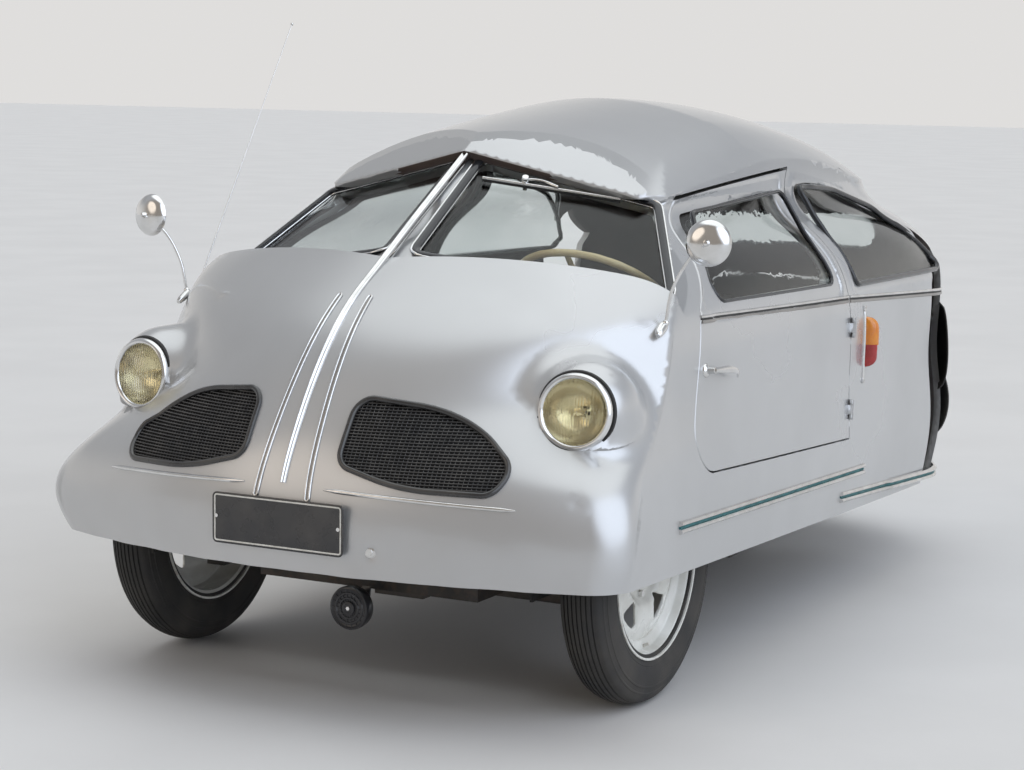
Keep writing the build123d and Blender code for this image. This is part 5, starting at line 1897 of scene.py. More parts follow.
@dataclass
class SideTrim:
    """Mouldings along the sides: belt lines and rub strips."""

    belt: tuple = ((0.197, 0.9075), (1.196, 0.8790))
    belt_rear: tuple = ((1.209, 0.8785), (2.200, 0.8250))
    # The belt's middle row sits low between the two raised rows and takes the black rubber finish (kind 2):
    # its dark line is painted shade for the groove.
    belt_rows: tuple = ((-0.0065, 0.0042, 0.0042, 0), (0.0, 0.0022, 0.0015, 2), (0.0065, 0.0042, 0.0036, 1))
    rub_rows: tuple = ((-0.0095, 0.0062, 0.0095, 0), (0.0, 0.0033, 0.0042, 3), (0.0095, 0.0062, 0.0095, 0))
    rub_front: tuple = ((-0.057, 0.444), (1.343, 0.382))
    rub_rear: tuple = ((1.160, 0.326), (2.120, 0.259))
    tail_z: float = 0.244
    tail_half: float = 0.46
    stray: float = 0.005

    @staticmethod
    def bands(shape: Shape, way: Path, rows: Sequence[tuple], side: int) -> None:
        """Half-round bands beside each other along one path.

        Args:
            shape: The shape that they go into.
            way: The path and the skin's normals along it.
            rows: Each band's offset, half width, height and kind of finish.
            side: 1 for the car's left, -1 for its right.
        """
        path, normals = way
        for offset, half, height, kind in rows:
            shape.sweep(path, normals, half_round(side * offset, half, height), kind=kind)

    def build(self, skin: Skin) -> None:
        """Makes all the side mouldings; the belt line on each door rides on the door.

        Args:
            skin: The panels' outer skin.
        """
        finishes = [CHROME, TAN, RUBBER, TEAL]
        fixed = Shape()
        for side in SIDES:
            view = SIDE_VIEWS[side]
            door = Shape()
            self.bands(door, skin.on(view, np.linspace(*self.belt, 34)), self.belt_rows, side)
            name = SIDE_NAMES[side]
            door.piece(f"{name}_door_belt_moulding", finishes[:3], f"{name}_door")
            self.bands(fixed, skin.on(view, np.linspace(*self.belt_rear, 34)), self.belt_rows, side)
            self.bands(fixed, skin.on(view, np.linspace(*self.rub_front, 48)), self.rub_rows, side)
        self.bands(fixed, self.round_tail(skin), self.rub_rows, 1)
        fixed.piece("side_mouldings", finishes)

    def round_tail(self, skin: Skin) -> Path:
        """The rear rub strip's way: along the left side, round the tail and back along the right.

        Args:
            skin: The panels' outer skin.

        Returns:
            The path and the form's normals along it.
        """
        left, _ = skin.on(View.LEFT, np.linspace(*self.rub_rear, 36))
        right, _ = skin.on(View.RIGHT, np.linspace(*self.rub_rear, 36))
        across = np.linspace(self.tail_half, -self.tail_half, 34)
        tail, _ = skin.on(View.BACK, [(x, self.tail_z) for x in across])
        spots = rows_of(smooth_line(left + tail + right[::-1], 160))
        smooth, _, normals = FORM.measure(spots)
        spots -= normals * np.where(np.abs(smooth) > self.stray, smooth, 0.0)[:, None]
        return [Vector(p) for p in spots], [Vector(n) for n in normals]


@dataclass
class Fittings:
    """What is fastened to the body: plate, horn, lamps, handles, mirrors, antenna and scoops."""

    plate_half: Pair = (0.178, 0.060)
    plate_z: float = 0.463
    plate_y: float = -0.595
    plate_edge: tuple = (
        (0.0006, 0.0052), (0.0, 0.004), (0.0, 0.0010), (0.0012, 0.0), (0.0030, 0.0), (0.0042, 0.0012),
    )
    plate_post_x: float = 0.120
    plate_screw_x: float = 0.166
    bolts: tuple = ((0.232, 0.418),)
    washer: tuple = ((0.0, -0.004), (0.0150, -0.004), (0.0155, -0.0015), (0.0125, 0.0008), (0.0, 0.0012))
    horn: tuple = (0.0, -0.262, 0.205)
    horn_stalk: tuple = ((0.0, -0.232, 0.205), (0.0, -0.212, 0.209), (0.0, -0.196, 0.250))
    horn_profile: tuple = (
        (0.0, -0.038), (0.024, -0.038), (0.024, -0.023), (0.040, -0.021), (0.0515, -0.010), (0.0535, 0.004),
        (0.0540, 0.016), (0.0520, 0.0205), (0.0480, 0.0215), (0.0450, 0.0190), (0.0405, 0.0185),
        (0.0385, 0.0205), (0.0350, 0.0205), (0.0330, 0.0180), (0.0285, 0.0180), (0.0265, 0.0200),
        (0.0235, 0.0200), (0.0215, 0.0175), (0.0180, 0.0175), (0.0165, 0.0225), (0.0110, 0.0235),
        (0.0100, 0.0225), (0.0, 0.0225),
    )
    horn_ribs: int = 18
    lamp_y: float = 1.350
    lamp_z: float = 0.728
    lamp_base: tuple = (-0.026, -0.090, 0.114)
    lamp_glasses: tuple = ((-0.054, 0.012, 0.038, 1), (0.010, 0.092, 0.054, 0))
    lamp_proud: float = 0.036
    handle: tuple = (
        (0.186, 0.786, 0.024), (0.225, 0.784, 0.029), (0.275, 0.779, 0.031), (0.315, 0.769, 0.027),
        (0.334, 0.757, 0.018),
    )
    rose: tuple = (
        (0.0, -0.003), (0.0175, -0.003), (0.0175, 0.0018), (0.0150, 0.0052), (0.0090, 0.0078),
        (0.0075, 0.0260), (0.0, 0.0275),
    )
    mirror_foot: tuple = (0.681, 0.005, 0.901)
    mirror_head: tuple = (0.796, 0.0, 1.108)
    mirror_foot_sizes: tuple = (0.55, 0.9, 1.0, 1.0, 0.98, 0.95, 0.9, 0.8, 0.5)
    mirror_shell: tuple = (
        (0.0, 0.0165), (0.0200, 0.0150), (0.0370, 0.0105), (0.0490, 0.0030), (0.0540, -0.0050),
        (0.0550, -0.0090), (0.0535, -0.0115), (0.0500, -0.0105), (0.0, -0.0105),
    )
    mirror_boss: tuple = ((0.0, 0.0280), (0.0050, 0.0270), (0.0070, 0.0220), (0.0085, 0.0150), (0.0, 0.0140))
    mirror_glass: tuple = ((0.0, -0.0112), (0.0495, -0.0112), (0.0500, -0.0095), (0.0, -0.0095))
    antenna: tuple = ((-0.690, 0.066, 0.918), (-0.600, 0.379, 1.612))
    antenna_base: tuple = (
        (0.0, -0.014), (0.0105, -0.014), (0.0120, -0.006), (0.0120, 0.002), (0.0085, 0.0080),
        (0.0050, 0.0120), (0.0045, 0.034), (0.0, 0.036),
    )
    scoops: tuple = ((2.115, 0.655, 0.138, 0.036), (2.265, 0.470, 0.120, 0.034))
    scoop_length: float = 0.150
    scoop_wall: float = 0.0035

    def build(self, skin: Skin) -> None:
        """Makes all of them.

        Args:
            skin: The panels' outer skin.
        """
        self.plate(skin)
        self.nose_bolts(skin)
        self.horn_disc()
        self.side_lamps(skin)
        for side in SIDES:
            self.door_handle(skin, side)
        self.mirrors()
        self.mast()
        self.ears(skin)

    def plate(self, skin: Skin) -> None:
        """The blank number plate with its white line, posts and screws.

        Args:
            skin: The panels' outer skin.
        """
        wide, high = self.plate_half
        sheet, line = Shape(), Shape()
        corners = [(-wide, -high), (wide, -high), (wide, high), (-wide, high)]
        outline = rounded_loop(corners, [0.012] * 4, 0.012)
        rings = []
        for inset, y in self.plate_edge:
            ring = grown(outline, -inset)
            rings.append(rows_of(place(x, self.plate_y + y, self.plate_z + z) for x, z in ring))
        sheet.loft(rings)
        edge = grown(outline, -0.0065)
        path = [place(x, self.plate_y + 0.0012, self.plate_z + z) for x, z in edge]
        line.sweep(path, [Vector((0, -1, 0))] * len(path), half_round(0.0, 0.0019, 0.0009), loop=True)
        for x in (-self.plate_post_x, self.plate_post_x):
            start = place(x, self.plate_y + 0.004, self.plate_z)
            end, _ = skin.on(View.FRONT, [(x, self.plate_z)], -0.004)
            sheet.tube([start, start.lerp(end[0], 0.5), end[0]], 0.0065)
        sheet.piece("number_plate_blank", [PLATE], replaces=["number_plate"])
        line.piece("number_plate_line", [PLATE_RIM])
        height = self.plate_z + 0.004
        screws = [place(x, self.plate_y, height) for x in (-self.plate_screw_x, self.plate_screw_x)]
        REPEAT.heads("number_plate_screws", screws, [Vector((0, -1, 0))] * 2, 0.0045, 0.0032, CHROME)

    def nose_bolts(self, skin: Skin) -> None:
        """The bolt beside the plate and its washer.

        Args:
            skin: The panels' outer skin.
        """
        spots, normals = skin.on(View.FRONT, self.bolts, 0.001)
        REPEAT.heads("nose_bolt", spots, normals, 0.0085, 0.008, CHROME, sides=6)
        washer = Shape()
        for spot, normal in zip(spots, normals):
            washer.turned(self.washer, spot, normal, 28)
        washer.piece("nose_bolt_washer", [CHROME])

    def horn_disc(self) -> None:
        """The disc horn under the nose, with rings, ribs and a centre cap."""
        middle, ahead = place(*self.horn), Vector((0, -1, 0))
        shape = Shape()
        shape.turned(self.horn_profile, middle, ahead, 56)
        stalk = smooth_line([place(*spot) for spot in self.horn_stalk], 14)
        flat = ((-0.012, -0.0025), (-0.012, 0.0025), (0.012, 0.0025), (0.012, -0.0025))
        shape.sweep(stalk, [Vector((0, -0.6, 0.8))] * 14, flat)
        shape.piece("horn_disc", [TUBE_BLACK], replaces=["horn"])
        ribs = []
        for k in range(self.horn_ribs):
            turn = 2 * math.pi * k / self.horn_ribs
            way = Vector((math.cos(turn), 0, math.sin(turn)))
            ribs.append([middle + way * 0.0175 + ahead * 0.0182, middle + way * 0.0475 + ahead * 0.0195])
        REPEAT.bars("horn_ribs", ribs, 0.0014, TUBE_BLACK)
        cap = middle + ahead * self.horn_profile[-1][1]
        REPEAT.heads("horn_cap_screw", [cap], [ahead], 0.005, 0.004, CHROME, sides=6)

    def side_lamps(self, skin: Skin) -> None:
        """Marker lamps: a chrome base with a loop at each end, an amber glass over a red one.

        Args:
            skin: The panels' outer skin.
        """
        lamps, bases = Shape(), Shape()
        back, low, high = self.lamp_base
        for side in SIDES:
            view = SIDE_VIEWS[side]
            heights = np.linspace(low, high, 22)
            path, normals = skin.on(view, [(self.lamp_y + back, self.lamp_z + dz) for dz in heights])
            bases.sweep(path, normals, half_round(0.0, 0.0062, 0.0048))
            for end in (path[0], path[-1]):
                ring = [end + Vector((0, y, z)) + normals[0] * 0.003 for y, z in oval(0.0075, 0.0075, 18)]
                bases.tube(ring, 0.0018, 8, loop=True)
            for glass in self.lamp_glasses:
                lamps.loft(self.lamp_rings(skin, view, *glass), kind=glass[-1])
        lamps.piece("side_lamp_glasses", [AMBER, RED], replaces=["side_lamps"], sharp=60.0)
        bases.piece("side_lamp_bases", [CHROME])

    def lamp_rings(self, skin: Skin, view: View, low: float, high: float, wide: float,
                   kind: int) -> list[np.ndarray]:
        """One lamp glass, closed off round at the end away from the other one.

        Args:
            skin: The panels' outer skin.
            view: Which side it is on.
            low: Its low end, from the lamp's middle.
            high: Its high end.
            wide: How long it is at the skin.
            kind: 0 for the upper glass, 1 for the lower one.

        Returns:
            Rings from its low end to its high one.
        """
        rings = []
        for t in np.linspace(-1.0, 1.0, 17):
            height = self.lamp_z + (low + high) / 2 + (high - low) / 2 * t
            end = max(0.0, t) if kind == 0 else max(0.0, -t)
            full = max(0.02, (1 - end ** 2.6) ** 0.5)
            foot, normal = skin.on(view, [(self.lamp_y, height)], -0.004)
            ring = []
            for a in np.linspace(0, math.pi, 17):
                out = self.lamp_proud * math.sin(a) ** 0.8 * full
                back = -0.024 + wide * (0.35 + 0.65 * full) * (1 - math.cos(a)) / 2
                ring.append(foot[0] + normal[0] * out + Vector((0, back, 0)))
            rings.append(rows_of(ring))
        return rings

    def door_handle(self, skin: Skin, side: int) -> None:
        """A round rose, a stem and a curved lever.

        Args:
            skin: The panels' outer skin.
            side: 1 for the car's left, -1 for its right.
        """
        view, name = SIDE_VIEWS[side], SIDE_NAMES[side]
        shape = Shape()
        skins, normals = skin.on(view, [(y, z) for y, z, _ in self.handle])
        shape.turned(self.rose, skins[0], normals[0], 36)
        path = smooth_line([s + normals[0] * h for s, (_, _, h) in zip(skins, self.handle)], 26)
        scales = []
        for s in np.linspace(0, 1, 26):
            wide = max(0.35, 0.75 + 0.45 * math.sin(math.pi * s) - 0.25 * s)
            scales.append((wide, max(0.3, 1.0 - 0.45 * s)))
        shape.sweep(path, [normals[0]] * 26, oval(0.0085, 0.0058, 14), scales=scales)
        shape.piece(f"{name}_door_lever", [CHROME], f"{name}_door", [f"{name}_door_handle"])

    def mirrors(self) -> None:
        """Round mirrors on curved arms, each from a wedge-shaped foot."""
        metal, glass = Shape(), Shape()
        for side in SIDES:
            foot, head = place(*self.mirror_foot, side), place(*self.mirror_head, side)
            ahead = Vector((side * 0.20, -0.97, 0.05)).normalized()
            along = Vector((side * 0.05, -0.80, -0.45)).normalized()
            out = Vector((side * 0.72, -0.42, 0.55)).normalized()
            body = [foot - along * 0.018 + along * t + out * 0.004 for t in np.linspace(0.0, 0.050, 9)]
            sizes = [(size, size) for size in self.mirror_foot_sizes]
            metal.sweep(body, [out] * 9, oval(0.0125, 0.0100, 18), scales=sizes)
            joint = foot - along * 0.016 + out * 0.010
            metal.turned(ball(0.0085, 10), joint, out, 20)
            way = [
                joint,
                joint.lerp(head, 0.30) + Vector((-side * 0.016, 0, 0.020)),
                joint.lerp(head, 0.72) + Vector((-side * 0.008, -0.004, 0.022)),
                head + ahead * 0.020,
            ]
            metal.tube(smooth_line(way, 28), 0.0040, 12)
            metal.turned(self.mirror_shell, head, ahead, 64)
            metal.turned(self.mirror_boss, head, ahead, 24)
            glass.turned(self.mirror_glass, head, ahead, 56)
        metal.piece("mirror_shells", [CHROME], replaces=["mirrors"])
        glass.piece("mirror_glasses", [REFLECTOR])

    def mast(self) -> None:
        """The whip antenna on the right front pillar."""
        low, tip = (place(*end) for end in self.antenna)
        shape = Shape()
        up = (tip - low).normalized()
        shape.turned(self.antenna_base, low, up, 28)
        length = (tip - low).length
        shape.tube([low + up * h for h in np.linspace(0.02, length * 0.45, 8)], 0.0019, 10)
        shape.tube([low + up * h for h in np.linspace(length * 0.44, length - 0.003, 8)], 0.0013, 10)
        shape.turned(ball(0.0042, 9), tip, up, 16)
        shape.piece("whip_antenna", [CHROME], replaces=["antenna"])

    def ears(self, skin: Skin) -> None:
        """Air scoops: thin black shells that stand off the flank, open at the front.

        Args:
            skin: The panels' outer skin.
        """
        shape = Shape()
        for side in SIDES:
            for scoop in self.scoops:
                shape.loft(self.scoop_rings(skin, SIDE_VIEWS[side], *scoop))
        shape.piece("air_scoop_shells", [SCOOP], replaces=["rear_scoops"])

    def scoop_rings(self, skin: Skin, view: View, y: float, z: float, half: float,
                    proud: float) -> list[np.ndarray]:
        """One scoop's shell.

        Args:
            skin: The panels' outer skin.
            view: Which side it is on.
            y: Its mouth's place, from the front axle.
            z: Its middle's height.
            half: Half its height.
            proud: How far it stands off the flank.

        Returns:
            Rings from its low edge to its high one.
        """
        rings = []
        steps = np.linspace(0.0, 1.0, 12)
        for t in np.linspace(-1.0, 1.0, 21):
            bow = math.sqrt(max(0.0, 1 - t * t))
            mouth = y + 0.030 * (1 - bow)
            spots = [(mouth + self.scoop_length * s, z + half * t * (1 - 0.25 * s)) for s in steps]
            foot, normals = skin.on(view, spots)
            lift = [proud * bow * (1 - s) ** 0.8 * (1 + 0.4 * s) for s in steps]
            front = [f + n * h for f, n, h in zip(foot, normals, lift)]
            back = [f + n * (h - self.scoop_wall) for f, n, h in zip(foot, normals, lift)]
            rings.append(rows_of(front + back[::-1]))
        return rings


@dataclass
class Wheels:
    """Pressed white wheels on ribbed tyres."""

    tyre_radius: float = 0.330
    holes: int = 5
    hole_place: float = 0.128
    hole_size: float = 0.0290
    inner: float = 0.056
    outer: float = 0.1768
    wall: float = 0.0042
    hole_lip: Pair = (0.0045, 0.16)
    layers: tuple = (0.0, 0.05, 0.10, 0.18, 0.28, 0.4, 0.55, 0.7, 0.85, 1.0)
    dish: tuple = (
        (0.050, 0.004), (0.076, 0.005), (0.088, 0.016), (0.098, 0.0235), (0.140, 0.0245), (0.160, 0.019),
        (0.1768, 0.0115),
    )
    rim: tuple = (
        (0.2205, 0.0510), (0.2202, 0.0545), (0.2175, 0.0560), (0.2148, 0.0545), (0.2138, 0.0480),
        (0.2075, 0.0452), (0.2035, 0.0415), (0.2008, 0.0250), (0.1960, 0.0205), (0.1802, 0.0170),
        (0.1768, 0.0135), (0.1750, 0.0090), (0.1800, 0.0110), (0.1950, 0.0140), (0.1985, 0.0080),
        (0.1990, -0.0440), (0.2060, -0.0480), (0.2140, -0.0500), (0.2150, -0.0550), (0.2195, -0.0560),
        (0.2205, -0.0510), (0.2165, -0.0480), (0.2062, -0.0440), (0.2038, -0.0400), (0.2038, 0.0380),
        (0.2065, 0.0420), (0.2165, 0.0480),
    )
    hub: tuple = (
        (0.0162, -0.0420), (0.0400, -0.0420), (0.0400, 0.0020), (0.0560, 0.0040), (0.0560, 0.0090),
        (0.0380, 0.0100), (0.0360, 0.0300), (0.0330, 0.0345), (0.0162, 0.0345),
    )
    cap: tuple = (
        (0.0, 0.0300), (0.0330, 0.0300), (0.0345, 0.0330), (0.0320, 0.0385), (0.0240, 0.0440),
        (0.0120, 0.0470), (0.0, 0.0478),
    )
    valve: tuple = ((-0.193, 0.018), (-0.186, 0.034))
    nut_circle: float = 0.066
    groove_places: tuple = (-0.0345, -0.0230, -0.0115, 0.0, 0.0115, 0.0230, 0.0345)
    groove_depth: float = 0.0042
    side_wall: tuple = (
        (0.2062, 0.0500), (0.2150, 0.0505), (0.2225, 0.0520), (0.2300, 0.0548), (0.2330, 0.0562),
        (0.2345, 0.0557), (0.2420, 0.0573), (0.2550, 0.0588), (0.2680, 0.0590), (0.2800, 0.0578),
        (0.2815, 0.0588), (0.2850, 0.0586), (0.2862, 0.0570), (0.2960, 0.0548), (0.2980, 0.0556),
        (0.3010, 0.0548), (0.3022, 0.0532), (0.3090, 0.0505), (0.3140, 0.0478), (0.3172, 0.0450),
    )
    spots: tuple = (
        ("front_left_wheel", (0.635, 0.0, 0.330), 1, ("front_left_rim", "front_left_tyre")),
        ("front_right_wheel", (-0.635, 0.0, 0.330), -1, ("front_right_rim", "front_right_tyre")),
        ("rear_wheel", (0.0, 1.960, 0.330), 1, ("rear_rim", "rear_tyre")),
    )

    def build(self) -> None:
        """Makes each wheel on its own body."""
        for body, middle, side, (rim, tyre) in self.spots:
            origin, axis = place(*middle), Vector((side, 0, 0))
            steel = Shape()
            steel.turned(self.rim, origin, axis, 112, closed=True)
            steel.turned(self.hub, origin, axis, 48, closed=True)
            self.disc(steel, origin, axis)
            steel.tube([origin + Vector((0, 0, z)) + axis * out for z, out in self.valve], 0.004, 10)
            steel.piece(f"{body}_steel", [WHEEL], body, [rim])
            cap = Shape()
            cap.turned(self.cap, origin, axis, 40)
            cap.piece(f"{body}_cap", [CHROME], body)
            turns = [math.pi * 2 * k / self.holes + math.pi / self.holes for k in range(self.holes)]
            ways = [Vector((0, math.sin(a), math.cos(a))) for a in turns]
            nuts = [origin + way * self.nut_circle + axis * 0.009 for way in ways]
            REPEAT.heads(f"{body}_nuts", nuts, [axis] * self.holes, 0.0088, 0.013, CHROME, body, 6)
            rubber = Shape()
            rubber.turned(self.tread(), origin, axis, 128, closed=True)
            rubber.piece(f"{body}_tyre_ribs", [TYRE], body, [tyre], sharp=28.0)

    def tread(self) -> list[Pair]:
        """The tyre's section: sidewalls with rings, a round shoulder and grooved ribs.

        Returns:
            Radius and height pairs round the closed section.
        """
        crown = []
        for at in np.linspace(0.0425, -0.0425, 171):
            radius = self.tyre_radius - 0.0125 * (abs(at) / 0.044) ** 2.2
            near = min(abs(at - g) for g in self.groove_places)
            depth = self.groove_depth * min(1.0, max(0.0, (0.0019 - near) / 0.0006))
            crown.append((radius - depth, at))
        slim = [crown[0]]
        for before, here, after in zip(crown, crown[1:], crown[2:]):
            bend = abs((after[0] - here[0]) - (here[0] - before[0]))
            if bend > 0.0002 or len(slim) % 3 == 0:
                slim.append(here)
        other = [(r, -h) for r, h in reversed(self.side_wall)]
        return list(self.side_wall) + slim + [crown[-1]] + other

    def hole_reach(self, turn: float) -> float:
        """The hole's radius in a direction: three rounded sides, the point towards the hub."""
        return self.hole_size * (1 - 0.20 * math.cos(3 * turn) + 0.04 * math.cos(6 * turn))

    def disc(self, shape: Shape, origin: Vector, axis: Vector) -> None:
        """The dished disc with its holes, as one ring of equal sectors.

        Args:
            shape: The shape that it goes into.
            origin: The wheel's middle.
            axis: The direction of the wheel's outer face.
        """
        low, high = self.inner - self.hole_place, self.outer - self.hole_place
        wide = math.pi / self.holes * self.hole_place
        corners = [math.atan2(s * wide, r) % (2 * math.pi) for s in SIDES for r in (low, high)]
        turns = sorted(list(np.linspace(0, 2 * math.pi, 56, endpoint=False)) + corners)
        radii, heights = np.array(self.dish).T
        lip, lip_share = self.hole_lip
        for k in range(self.holes):
            middle = 2 * math.pi * k / self.holes
            rings = []
            layers = [(share, 0.0) for share in reversed(self.layers)]
            layers += [(share, self.wall) for share in self.layers]
            for share, depth in layers:
                pressed = lip * max(0.0, 1 - share / lip_share) ** 2
                ring = []
                for turn in turns:
                    c, s = math.cos(turn), math.sin(turn)
                    ahead = (high if c > 0 else low) / c if abs(c) > 1e-9 else math.inf
                    aside = wide / abs(s) if abs(s) > 1e-9 else math.inf
                    hole = self.hole_reach(turn)
                    reach = hole + (min(ahead, aside) - hole) * share
                    radius = self.hole_place + reach * c
                    angle = middle + reach * s / self.hole_place
                    height = float(np.interp(radius, radii, heights)) - depth - pressed
                    way = Vector((0, math.sin(angle), math.cos(angle)))
                    ring.append(origin + axis * height + way * radius)
                rings.append(rows_of(ring))
            shape.loft(rings, capped=False)


@dataclass
class Cabin:
    """The steering wheel, and a dial and knobs on the dashboard."""

    middle: tuple = (0.330, 0.360, 0.935)
    rake: float = 55.0
    radius: float = 0.200
    dish: float = 0.050
    spokes: tuple = (-90.0, 30.0, 150.0)
    dash_face: float = 0.188
    dial: Pair = (0.330, 0.862)
    dial_radius: float = 0.052
    knobs: tuple = ((0.205, 0.845), (0.165, 0.845), (0.125, 0.845), (-0.060, 0.845))
    swells: int = 24
    boss: tuple = (
        (0.0, -0.050), (0.0240, -0.050), (0.0280, -0.040), (0.0280, -0.020), (0.0250, -0.012),
        (0.0215, -0.010), (0.0, -0.010),
    )
    button: tuple = (
        (0.0, -0.012), (0.0190, -0.012), (0.0190, -0.007), (0.0150, -0.0045), (0.0080, -0.0030),
        (0.0, -0.0025),
    )
    bezel: tuple = ((0.004, -0.002), (0.004, 0.008), (0.0, 0.010), (-0.004, 0.008), (-0.004, 0.001))
    knob: tuple = (
        (0.0, -0.002), (0.004, -0.002), (0.004, 0.010), (0.0085, 0.012), (0.0090, 0.020), (0.0070, 0.0235),
        (0.0, 0.0245),
    )
    ticks: int = 13

    def build(self) -> None:
        """Makes them."""
        self.wheel()
        self.instruments()

    def wheel(self) -> None:
        """A cream rim with finger swells behind it, three tapered spokes and a boss."""
        turn = math.radians(self.rake)
        axis = Vector((0, math.cos(turn), math.sin(turn)))
        across, up = Vector((1, 0, 0)), axis.cross(Vector((1, 0, 0)))
        origin = place(*self.middle)
        shape, steps = Shape(), 144
        angles = np.linspace(0, 2 * math.pi, steps, endpoint=False)
        path = [origin + (across * math.cos(a) + up * math.sin(a)) * self.radius for a in angles]
        swell = [(1.0 - 0.06 * (0.5 + 0.5 * math.cos(self.swells * a)),) * 2 for a in angles]
        shape.sweep(path, [axis] * steps, oval(0.0108, 0.0098, 16), loop=True, scales=swell)
        taper = [(1.0 - 0.35 * s, 1.0) for s in np.linspace(0, 1, 14)]
        for degrees in self.spokes:
            a = math.radians(degrees)
            out = across * math.cos(a) + up * math.sin(a)
            low, mid = (origin - axis * (self.dish * share) for share in (0.62, 0.45))
            spoke = smooth_line([low, mid + out * 0.090, origin + out * 0.196], 14)
            shape.sweep(spoke, [axis] * 14, oval(0.0120, 0.0050, 14), scales=taper)
        shape.turned(self.boss, origin, axis, 48)
        shape.piece("cream_steering_wheel", [CREAM], "steering_wheel", ["steering_wheel"])
        button = Shape()
        button.turned(self.button, origin, axis, 36)
        button.piece("horn_button", [TUBE_BLACK], "steering_wheel")

    def instruments(self) -> None:
        """A round dial with plain ticks and a needle, and a row of knobs."""
        back, rims, marks = Shape(), Shape(), []
        facing = Vector((0, 1, 0))
        spot = place(self.dial[0], self.dash_face, self.dial[1])
        r = self.dial_radius
        back.turned(((0.0, 0.002), (r, 0.002), (r, 0.0), (0.0, -0.002)), spot, facing, 48)
        back.piece("dial_face", [TUBE_BLACK])
        rims.turned([(r + out, h) for out, h in self.bezel], spot, facing, 56)
        for x, z in self.knobs:
            rims.turned(self.knob, place(x, self.dash_face, z), facing, 20)
        rims.piece("dash_bright_parts", [CHROME])
        for k in range(self.ticks):
            a = math.radians(225 - 270 * k / (self.ticks - 1))
            way = Vector((-math.cos(a), 0, math.sin(a)))
            marks.append([spot + way * r * 0.70 + facing * 0.0028, spot + way * r * 0.88 + facing * 0.0028])
        marks.append([spot + facing * 0.004, spot + Vector((0.6, 0, 0.5)) * r * 0.9 + facing * 0.004])
        REPEAT.bars("dial_marks", marks, 0.0008, CREAM)


@dataclass
class Pad:
    """One stuffed block of the seat, swollen by cloth simulation inside the space it has."""

    name: str
    node: str
    low: tuple
    high: tuple
    shy: float = 0.011
    voxel: float = 0.010
    pressure: float = 4.0
    limit: float = 0.022
    frames: int = 20
    pitch: float = 0.0935
    reach: float = 0.47
    groove: float = 0.007
    groove_half: float = 0.0095

    def build(self) -> None:
        low, high = np.array(place(*self.low)), np.array(place(*self.high))
        work = bmesh.new()
        bmesh.ops.create_cube(work, size=1.0)
        for vert in work.verts:
            share = np.array(vert.co) + 0.5
            vert.co = low + self.shy + share * (high - low - 2 * self.shy)
        bmesh.ops.bevel(work, geom=list(work.edges), offset=0.026, segments=4, profile=0.6, affect="EDGES")
        mesh = bpy.data.meshes.new(self.name)
        work.to_mesh(mesh)
        work.free()
        mesh = self.with_modifier(mesh, "REMESH", mode="VOXEL", voxel_size=self.voxel)
        before = vertex_rows(mesh)
        after = self.swollen(mesh)
        move = after - before
        length = np.linalg.norm(move, axis=1)[:, None]
        after = before + move * np.minimum(1.0, self.limit / np.maximum(length, 1e-9))
        move_vertices(mesh, self.sewn(np.clip(after, low, high), low, high))
        mesh = self.with_modifier(mesh, "SUBSURF", levels=1, render_levels=1)
        move_vertices(mesh, np.clip(vertex_rows(mesh), low, high))
        piece = settle(self.name, mesh, [VINYL], "body", [self.node], sharp=180.0)

    def with_modifier(self, mesh: bpy.types.Mesh, kind: str, **settings: object) -> bpy.types.Mesh:
        """The mesh after one modifier, as a plain mesh.

        Args:
            mesh: The mesh.
            kind: The modifier's type.
            settings: Properties of the modifier.

        Returns:
            The new mesh.
        """
        holder = bpy.data.objects.new(self.name + "_work", mesh)
        bpy.context.scene.collection.objects.link(holder)
        modifier = holder.modifiers.new("work", kind)
        for key, value in settings.items():
            setattr(modifier, key, value)
        evaluated = holder.evaluated_get(bpy.context.evaluated_depsgraph_get())
        made = bpy.data.meshes.new_from_object(evaluated)
        made.name = self.name
        bpy.data.objects.remove(holder)
        return made

    def swollen(self, mesh: bpy.types.Mesh) -> np.ndarray:
        """Where the vertices come to rest when the cover is blown up a little.

        Args:
            mesh: The cover.

        Returns:
            The vertices' places as rows.
        """
        scene = bpy.context.scene
        holder = bpy.data.objects.new(self.name + "_cloth", mesh)
        scene.collection.objects.link(holder)
        cloth = holder.modifiers.new("swell", "CLOTH")
        cloth.settings.use_pressure = True
        cloth.settings.uniform_pressure_force = self.pressure
        cloth.settings.effector_weights.gravity = 0.0
        cloth.settings.quality = 4
        cloth.point_cache.frame_start, cloth.point_cache.frame_end = 1, self.frames
        for frame_number in range(1, self.frames + 1):
            scene.frame_set(frame_number)
        evaluated = holder.evaluated_get(bpy.context.evaluated_depsgraph_get())
        found = vertex_rows(evaluated.data)
        bpy.data.objects.remove(holder)
        scene.frame_set(1)
        return found

    def sewn(self, spots: np.ndarray, low: np.ndarray, high: np.ndarray) -> np.ndarray:
        """Presses the channels in from the faces that are sat on.

        Args:
            spots: The vertices' places as rows.
            low: The low corner of the space.
            high: Its high corner.

        Returns:
            The new places.
        """
        middle = (low + high) / 2
        phase = (spots[:, 0] / self.pitch) % 1.0
        near = np.minimum(phase, 1 - phase) * self.pitch
        depth = self.groove * np.exp(-((near / self.groove_half) ** 2)) * (np.abs(spots[:, 0]) < self.reach)
        tall = high[2] - low[2] > high[1] - low[1]
        axis, sign = (1, 1.0) if tall else (2, -1.0)
        front = (spots[:, axis] - middle[axis]) * sign < 0 if tall else (spots[:, axis] - middle[axis]) > 0
        spots = spots.copy()
        spots[:, axis] += sign * depth * front
        return spots


SEAT_PADS = (
    Pad("seat_cushion_pad", "seat_cushion", (-0.558, 0.6205, 0.3805), (0.558, 1.0545, 0.505)),
    Pad("seat_backrest_pad", "seat_backrest", (-0.558, 1.0560, 0.3805), (0.558, 1.1490, 0.780)),
)


